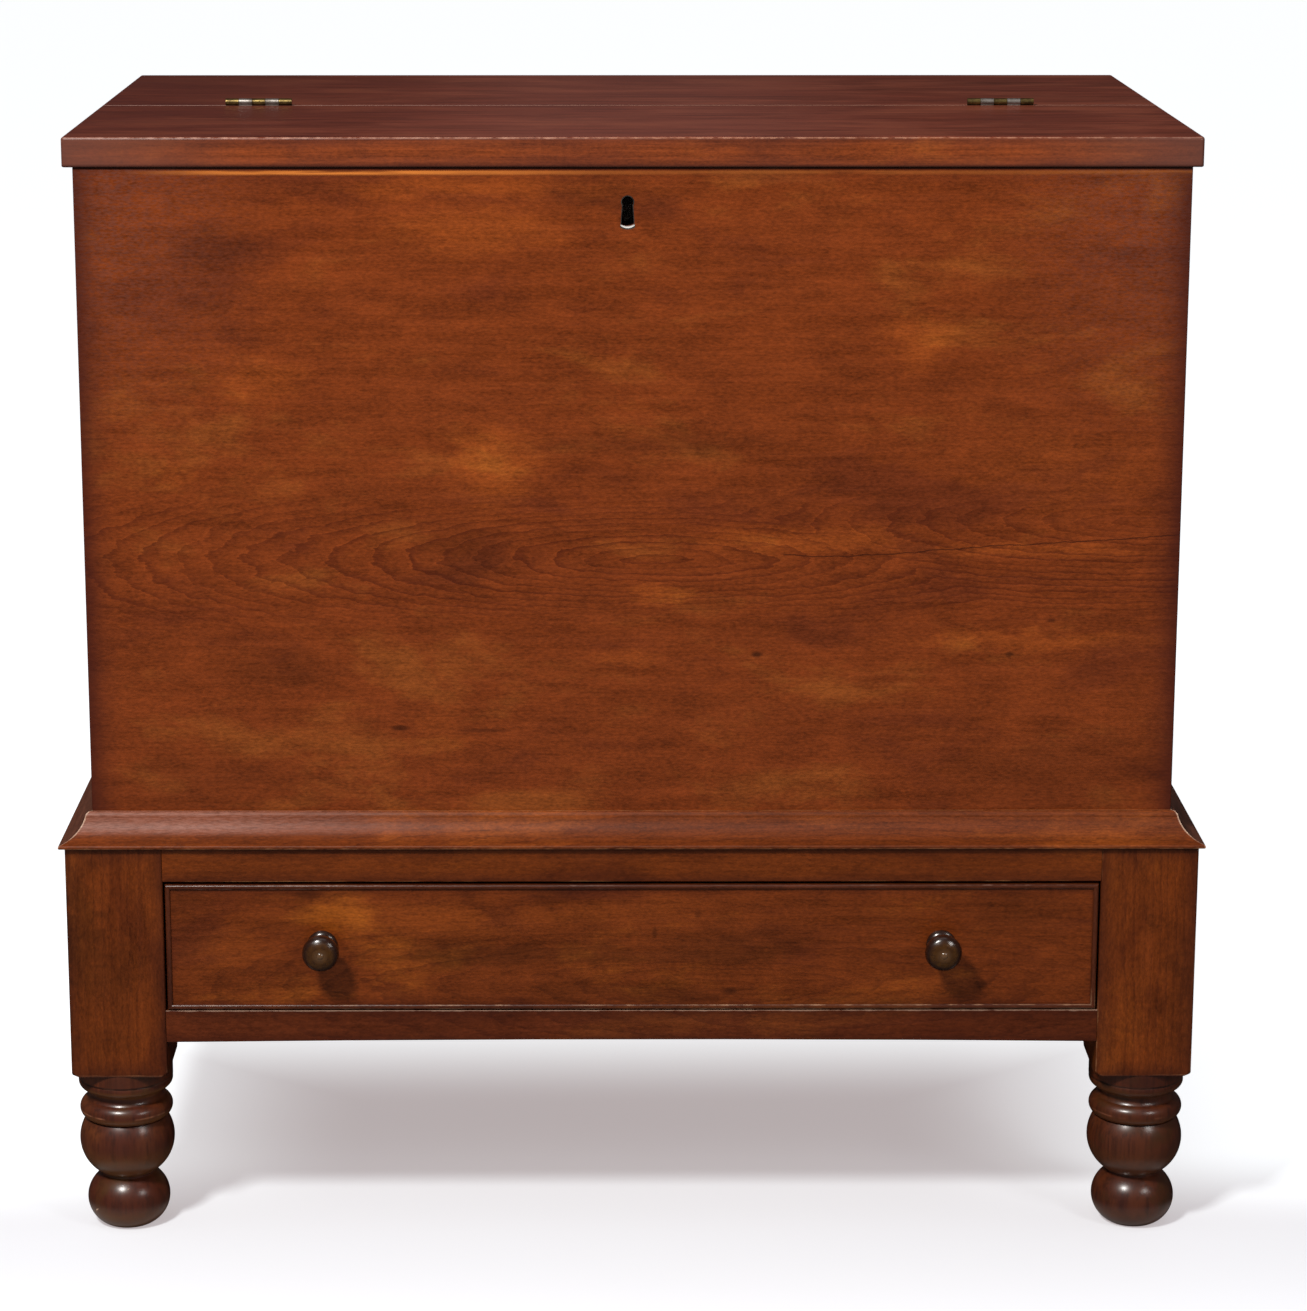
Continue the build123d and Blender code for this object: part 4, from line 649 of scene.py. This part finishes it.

# the moulding's front length: a painted pink sheen at the left of its cove, and pale mitres, rubbed and near the top a
# painted highlight

coveLook = {
    # the dust colour is a painted pink sheen at the left of the cove
    "dust": "8c5a4a", "dustShare": 0.60, "dustFrom": -0.10, "dustTo": -0.36, "dustLow": 0.3315, "dustFade": 0.004,
    "mitreX": 0.424, "mitreY": -0.2325, "mitreWidth": 0.0014, "mitreColour": "b99a84"}


def finishMoulding():
    tree, shader, cove = dressed["waist_moulding_front"]
    x, y, z = split(tree, cove["position"])
    speckled = noise(tree, stretched(tree, cove["position"], (140.0, 900.0, 900.0)), 1.0, 3.0, 0.7)
    low, fade = coveLook["dustLow"], coveLook["dustFade"]
    dusty = product(tree, ramp(tree, x, coveLook["dustFrom"], coveLook["dustTo"], 0.0, coveLook["dustShare"]),
                    ramp(tree, z, low, low + fade), ramp(tree, speckled, 0.3, 0.7, 0.3, 1.2))
    colour = blend(tree, dusty, cove["colour"], rgba(coveLook["dust"]))
    # pale mitre lines, rubbed, and near the top a painted highlight
    along = calc(tree, "SUBTRACT", calc(tree, "ABSOLUTE", x), coveLook["mitreX"])
    mitre = calc(tree, "ABSOLUTE", calc(tree, "SUBTRACT", along, calc(tree, "SUBTRACT", coveLook["mitreY"], y)))
    rubbed = product(tree, ramp(tree, mitre, coveLook["mitreWidth"], coveLook["mitreWidth"] * 0.3, 0.0, 0.9),
                     ramp(tree, z, low - fade, low + fade, 0.3, 1.0), ramp(tree, speckled, 0.35, 0.55, 0.3, 1.0))
    colour = blend(tree, rubbed, colour, rgba(coveLook["mitreColour"]))
    tree.links.new(colour, shader.inputs["Base Color"])


finishMoulding()
print("moulding finished")

# the top: its upper face painted darker and bluer than its edges, partly a painted sheen

topLook = {
    "upper": "6c3025", "upperDark": "421810", "upperCloud": "8a4a38", "upperShare": 0.8,
    "upperEnd": "3a1417", "leftEnd": (-0.05, -0.40), "leftShare": 0.55,
    "upperMiddle": "7c4f49", "middleOver": (0.05, 0.24), "middleShare": 0.30,
    "endGrey": "5a3830", "endFrom": 0.27, "endTo": 0.44, "endShare": 0.65,
    "worn": "a8857c", "wornAbove": 0.873, "wornFade": (-0.20, 0.05), "wornLeast": 0.45,
    "underEdge": 0.858, "underColour": "2e100a"}
topBoards = {"lid": {}, "top_rear_board": {"centre": (-0.2, 0.2, 0.82)}}


def finishTop(node, changes):
    tree, shader, made = boardWood(node, "topWood", {"grain": "top", "wornAbove": topLook["wornAbove"], **changes})
    x, _, z = split(tree, made["position"])
    fromMiddle = calc(tree, "ABSOLUTE", x)
    # the upper face gets its own darker, bluer tone, partly a painted sheen
    upper = ramp(tree, split(tree, made["normal"])[2], 0.75, 0.97)
    edges = calc(tree, "SUBTRACT", 1.0, upper)
    streaks = ramp(tree, made["figure"]["Streaks"], 0.38, 0.62)
    tone = blend(tree, streaks, rgba(topLook["upperDark"]), rgba(topLook["upper"]))
    tone = blend(tree, ramp(tree, made["figure"]["Clouds"], 0.42, 0.62, 0.0, 0.35), tone, rgba(topLook["upperCloud"]))
    # darker at the left end, and a painted grey sheen in the middle
    tone = blend(tree, ramp(tree, x, *topLook["leftEnd"], 0.0, topLook["leftShare"]), tone, rgba(topLook["upperEnd"]))
    dusty = ramp(tree, fromMiddle, *topLook["middleOver"], topLook["middleShare"], 0.0)
    tone = blend(tree, dusty, tone, rgba(topLook["upperMiddle"]))
    colour = blend(tree, product(tree, upper, topLook["upperShare"]), made["colour"], tone)
    # the edges are greyer towards the ends, and darkened along the bottom by painted shade
    ends = ramp(tree, fromMiddle, topLook["endFrom"], topLook["endTo"], 0.0, topLook["endShare"])
    colour = blend(tree, product(tree, ends, edges), colour, rgba(topLook["endGrey"]))
    under = ramp(tree, z, topLook["underEdge"], topLook["underEdge"] - 0.003, 0.0, 0.8)
    colour = blend(tree, product(tree, under, edges), colour, rgba(topLook["underColour"]))
    worn = product(tree, made["worn"], ramp(tree, x, *topLook["wornFade"], 1.0, topLook["wornLeast"]))
    tree.links.new(blend(tree, worn, colour, rgba(topLook["worn"])), shader.inputs["Base Color"])


for topName, topChanges in topBoards.items():
    finishTop(topName, topChanges)
print("top dressed")

# legs: square posts over dark turned feet

legLook = {
    "footTop": 0.1355, "light": "5e2e10", "mid": "461b0a", "dark": "1f0a05", "olive": "462a0b", "oliveShare": 0.8,
    "lower": "74440c", "lowerShare": 0.38, "rightShade": (0.64, 0.53, 0.52), "footRough": 0.55, "gloss": 0.9,
    "coatRough": 0.28, "ridges": (0.0978, 0.1152, 0.1240, 0.1345), "ridgeWidth": 0.0011, "rubbed": "9a6242",
    "lip": (0.1246, 0.1252), "lipShare": 0.55, "seat": 0.1241, "seatWidth": 0.0012,
    "chip": "c9a284", "chipScale": 75.0, "chipSize": 0.55, "chipShare": 0.3, "chipsBelow": (0.012, 0.05),
    "ragged": 0.012}
# the left post's dark marks and the right post's long dark mark down its outer edge are painted shade; the other marks
# are the wood's own
postMarks = {
    # colour, strength, middle x and z, half width and half height
    "leg_front_left": [("dark", 0.75, -0.433, 0.245, 0.020, 0.070), ("dark", 0.45, -0.405, 0.215, 0.016, 0.040),
                       ("dark", 0.35, -0.420, 0.165, 0.030, 0.016)],
    "leg_front_right": [("dark", 0.55, 0.404, 0.262, 0.006, 0.008), ("dark", 0.40, 0.432, 0.200, 0.010, 0.060),
                        ("light", 0.25, 0.400, 0.190, 0.016, 0.040)],
}


def footColour(tree, made, z, block):
    # brown clouds over dark, streaks, olive patches, undersides painted browner and lighter as painted bounce light,
    # and pale where the ridges are rubbed
    place, figure = made["position"], made["figure"]
    colour = blend(tree, ramp(tree, figure["Clouds"], 0.40, 0.62), rgba(legLook["mid"]), rgba(legLook["light"]))
    colour = blend(tree, ramp(tree, figure["Streaks"], 0.56, 0.36, 0.0, 0.6), colour, rgba(legLook["dark"]))
    patches = noise(tree, stretched(tree, place, (24.0, 24.0, 30.0)), 1.0, 3.0, 0.6)
    colour = blend(tree, ramp(tree, patches, 0.52, 0.7, 0.0, legLook["oliveShare"]), colour, rgba(legLook["olive"]))
    facing = split(tree, made["normal"])[2]
    colour = blend(tree, ramp(tree, facing, 0.05, -0.5, 0.0, legLook["lowerShare"]), colour, rgba(legLook["lower"]))
    scrapes = noise(tree, stretched(tree, place, (60.0, 60.0, 45.0)), 1.0, 3.0, 0.6)
    for ridge in legLook["ridges"]:
        toRidge = calc(tree, "ABSOLUTE", calc(tree, "SUBTRACT", z, ridge))
        near = ramp(tree, toRidge, 0.0, legLook["ridgeWidth"], 1.0, 0.0)
        near = product(tree, near, ramp(tree, scrapes, 0.5, 0.66, 0.0, 0.6))
        colour = blend(tree, near, colour, rgba(legLook["rubbed"]))
    # the flat top of the foot keeps the block's colour, with a painted shadow line where the lip begins
    colour = blend(tree, ramp(tree, z, *legLook["lip"], 0.0, legLook["lipShare"], False), colour, block)
    toSeat = calc(tree, "ABSOLUTE", calc(tree, "SUBTRACT", z, legLook["seat"]))
    seat = ramp(tree, toSeat, legLook["seatWidth"] / 3, legLook["seatWidth"], 0.75, 0.0)
    return blend(tree, seat, colour, rgba(legLook["dark"]))


def addChips(tree, place, z, colour):
    # pale chips low on the toe, with ragged outlines
    ragged = addNode(tree, "TexNoise", {"Vector": place, "Scale": 150.0, "Detail": 2.0}).outputs["Color"]
    wander = legLook["ragged"]
    shift = vectorCalc(tree, "MULTIPLY", ragged, (wander, wander, wander * 5 / 3))
    chips = useGroup(tree, specks, {"Position": vectorCalc(tree, "ADD", place, shift), "Scale": legLook["chipScale"],
                                    "Size": legLook["chipSize"], "Share": legLook["chipShare"]})["Specks"]
    chips = product(tree, chips, ramp(tree, z, *legLook["chipsBelow"], 0.9, 0.0))
    return blend(tree, chips, colour, rgba(legLook["chip"]))


def legWood(node):
    low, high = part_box(node)
    low.z = legLook["footTop"]
    middle = (low + high) / 2
    changes = {"grain": "z", "centre": (middle.x * 0.93, middle.y - 0.05, 0.2), "stretch": 12.0, "ringWidth": 0.006,
               "inside": (0, 0, 0), "reach": 0.2, "outside": 1.0, "lineStrength": 0.25, "grimeWidth": 0.024,
               "grimeColour": "28100c", "coverage": 0.6, "worn": "8f6240", "wornAbove": legLook["footTop"] + 0.0003}
    material, tree, shader, made = makeWood(node + "Finish", woodLooks["standWood"], low, high, changes)
    place = made["position"]
    block = addMarks(tree, place, made["colour"], postMarks.get(node, []))
    z = split(tree, place)[2]
    foot = ramp(tree, z, legLook["footTop"] - 0.0004, legLook["footTop"] + 0.0004, 1.0, 0.0, False)
    turned = footColour(tree, made, z, block)
    # the right-hand foot is painted darker, painted shade for a key light from the left
    if node == "leg_front_right":
        turned = blend(tree, 1.0, turned, (*legLook["rightShade"], 1), "MULTIPLY")
    turned = addChips(tree, place, z, turned)
    tree.links.new(blend(tree, foot, block, turned), shader.inputs["Base Color"])
    rougher = product(tree, foot, legLook["footRough"] - woodLooks["standWood"]["rough"])
    tree.links.new(calc(tree, "ADD", made["rough"], rougher), shader.inputs["Roughness"])
    tree.links.new(product(tree, foot, legLook["gloss"]), shader.inputs["Coat Weight"])
    shader.inputs["Coat Roughness"].default_value = legLook["coatRough"]
    dress(node, material)


for legName in ("leg_front_left", "leg_front_right", "leg_rear_left", "leg_rear_right"):
    legWood(legName)
print("legs dressed")

# knobs

knobLook = {
    "light": "3c2212", "mid": "24120b", "dark": "140a07", "rough": 0.24, "coat": 0.4, "coatRough": 0.22,
    "face": "402508", "faceRadius": 0.0125, "faceDepth": (0.009, 0.005),
    "pip": "7a5c42", "pipDepth": (0.0016, 0.0004), "pipShare": 0.3,
    # turning marks: radians per metre of radius
    "turnRate": 6283.0, "turnsWithin": (0.0030, 0.0045), "turnsShare": 0.3}


def knobWood(node):
    # near black with an olive, hand-rubbed face, turning marks round the pip, and the pip worn pale
    low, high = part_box(node)
    middle = (low + high) / 2
    changes = {"grain": "top", "light": knobLook["light"], "mid": knobLook["mid"], "dark": knobLook["dark"],
               "centre": (middle.x, -0.26, low.z - 0.01), "ringWidth": 0.004, "wander": 0.004,
               "grimeWidth": 0.001, "coverage": 0.0, "lineStrength": 0.3, "rough": knobLook["rough"]}
    material, tree, shader, made = makeWood(node + "Finish", woodLooks["beadWood"], low, high, changes)
    place = made["position"]
    off = vectorCalc(tree, "MULTIPLY", vectorCalc(tree, "SUBTRACT", place, (middle.x, 0, middle.z)), (1, 0, 1))
    radius = vectorCalc(tree, "LENGTH", off)
    depth = calc(tree, "SUBTRACT", split(tree, place)[1], low.y)
    ahead = ramp(tree, depth, *knobLook["faceDepth"])
    rubbed = ramp(tree, noise(tree, place, 260.0, 3.0, 0.6), 0.3, 0.7, 0.45, 1.0)
    disc = ramp(tree, radius, knobLook["faceRadius"] * 0.72, knobLook["faceRadius"], 1.0, 0.0)
    colour = blend(tree, product(tree, disc, ahead, rubbed), made["colour"], rgba(knobLook["face"]))
    turns = ramp(tree, calc(tree, "SINE", product(tree, radius, knobLook["turnRate"])), 0.6, 1.0)
    turns = product(tree, turns, ramp(tree, radius, *knobLook["turnsWithin"], 1.0, 0.0), ahead, knobLook["turnsShare"])
    colour = blend(tree, turns, colour, rgba(knobLook["pip"]))
    pip = product(tree, ramp(tree, depth, *knobLook["pipDepth"]), knobLook["pipShare"])
    tree.links.new(blend(tree, pip, colour, rgba(knobLook["pip"])), shader.inputs["Base Color"])
    shader.inputs["Coat Weight"].default_value = knobLook["coat"]
    shader.inputs["Coat Roughness"].default_value = knobLook["coatRough"]
    dress(node, material)


for knobName in ("knob_left", "knob_right"):
    knobWood(knobName)
print("knobs dressed")

# metal

metalLooks = {
    "agedBrass": {"clean": "7c6a3e", "dull": "4a3c24", "rough": 0.36, "metal": 0.9},
    "wornGreyBrass": {"clean": "8c8680", "dull": "665f57", "rough": 0.42, "metal": 0.85},
    "darkIron": {"clean": "5b5753", "dull": "2c2826", "rough": 0.5, "metal": 0.85},
    "brightIron": {"clean": "3c3732", "dull": "1c1816", "rough": 0.3, "metal": 0.95},
}
metalFinish = {"tarnishScale": 160.0, "scratches": (90.0, 900.0, 900.0), "bumpStrength": 0.2, "bumpDepth": 0.0001}


def makeMetal(name):
    look = metalLooks[name]
    material = bpy.data.materials.new(name)
    material.use_nodes = True
    tree = material.node_tree
    shader = tree.nodes["Principled BSDF"]
    position = addNode(tree, "TexCoord").outputs["Object"]
    tarnish = noise(tree, position, metalFinish["tarnishScale"], 4.0, 0.65)
    scratch = noise(tree, stretched(tree, position, metalFinish["scratches"]), 1.0, 2.0)
    colour = blend(tree, ramp(tree, tarnish, 0.40, 0.62), rgba(look["clean"]), rgba(look["dull"]))
    tree.links.new(colour, shader.inputs["Base Color"])
    unevenness = product(tree, calc(tree, "SUBTRACT", tarnish, 0.5), 0.5)
    tree.links.new(calc(tree, "ADD", look["rough"], unevenness), shader.inputs["Roughness"])
    bump = addNode(tree, "Bump", {"Height": scratch, "Strength": metalFinish["bumpStrength"],
                                  "Distance": metalFinish["bumpDepth"]})
    tree.links.new(bump.outputs["Normal"], shader.inputs["Normal"])
    shader.inputs["Metallic"].default_value = look["metal"]
    return material


linerLook = {"footTop": 0.8108, "bow": 66.0, "rimLow": 0.8082, "face": "443c35", "rim": "dedad4", "metal": 0.2}


def linerMetal():
    # dark and worn up the sides, with a painted highlight along the hole's foot
    material = makeMetal("brightIron")
    tree = material.node_tree
    shader = tree.nodes["Principled BSDF"]
    x, _, z = split(tree, addNode(tree, "TexCoord").outputs["Object"])
    foot = ramp(tree, z, linerLook["footTop"] - 0.001, linerLook["footTop"] + 0.001, 1.0, 0.0)
    low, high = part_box("keyhole_liner")
    off = calc(tree, "SUBTRACT", x, (low.x + high.x) / 2)
    level = calc(tree, "MULTIPLY_ADD", product(tree, off, off), -linerLook["bow"], z)
    rim = ramp(tree, level, linerLook["rimLow"], linerLook["rimLow"] + 0.0004)
    bright = blend(tree, rim, rgba(linerLook["face"]), rgba(linerLook["rim"]))
    dull = shader.inputs["Base Color"].links[0].from_socket
    tree.links.new(blend(tree, foot, dull, bright), shader.inputs["Base Color"])
    shader.inputs["Metallic"].default_value = linerLook["metal"]
    return material


metals = {name: makeMetal(name) for name in metalLooks if name != "brightIron"}
metals["brightIron"] = linerMetal()
metalNodes = {
    "agedBrass": ("hinge_leaf_fixed_left", "hinge_leaf_fixed_right", "hinge_pin_left", "hinge_pin_right"),
    "wornGreyBrass": ("hinge_leaf_lid_left", "hinge_leaf_lid_right", "hinge_screws_fixed", "hinge_screws_lid"),
    "darkIron": ("lock_case", "lock_back_plate", "lock_key_pin", "lock_screws", "lock_bolt", "strike_plate",
                 "strike_screws"),
    "brightIron": ("keyhole_liner",),
}
for metalName, members in metalNodes.items():
    for member in members:
        dress(member, metals[metalName])
print("metal dressed")

print("sizes written")
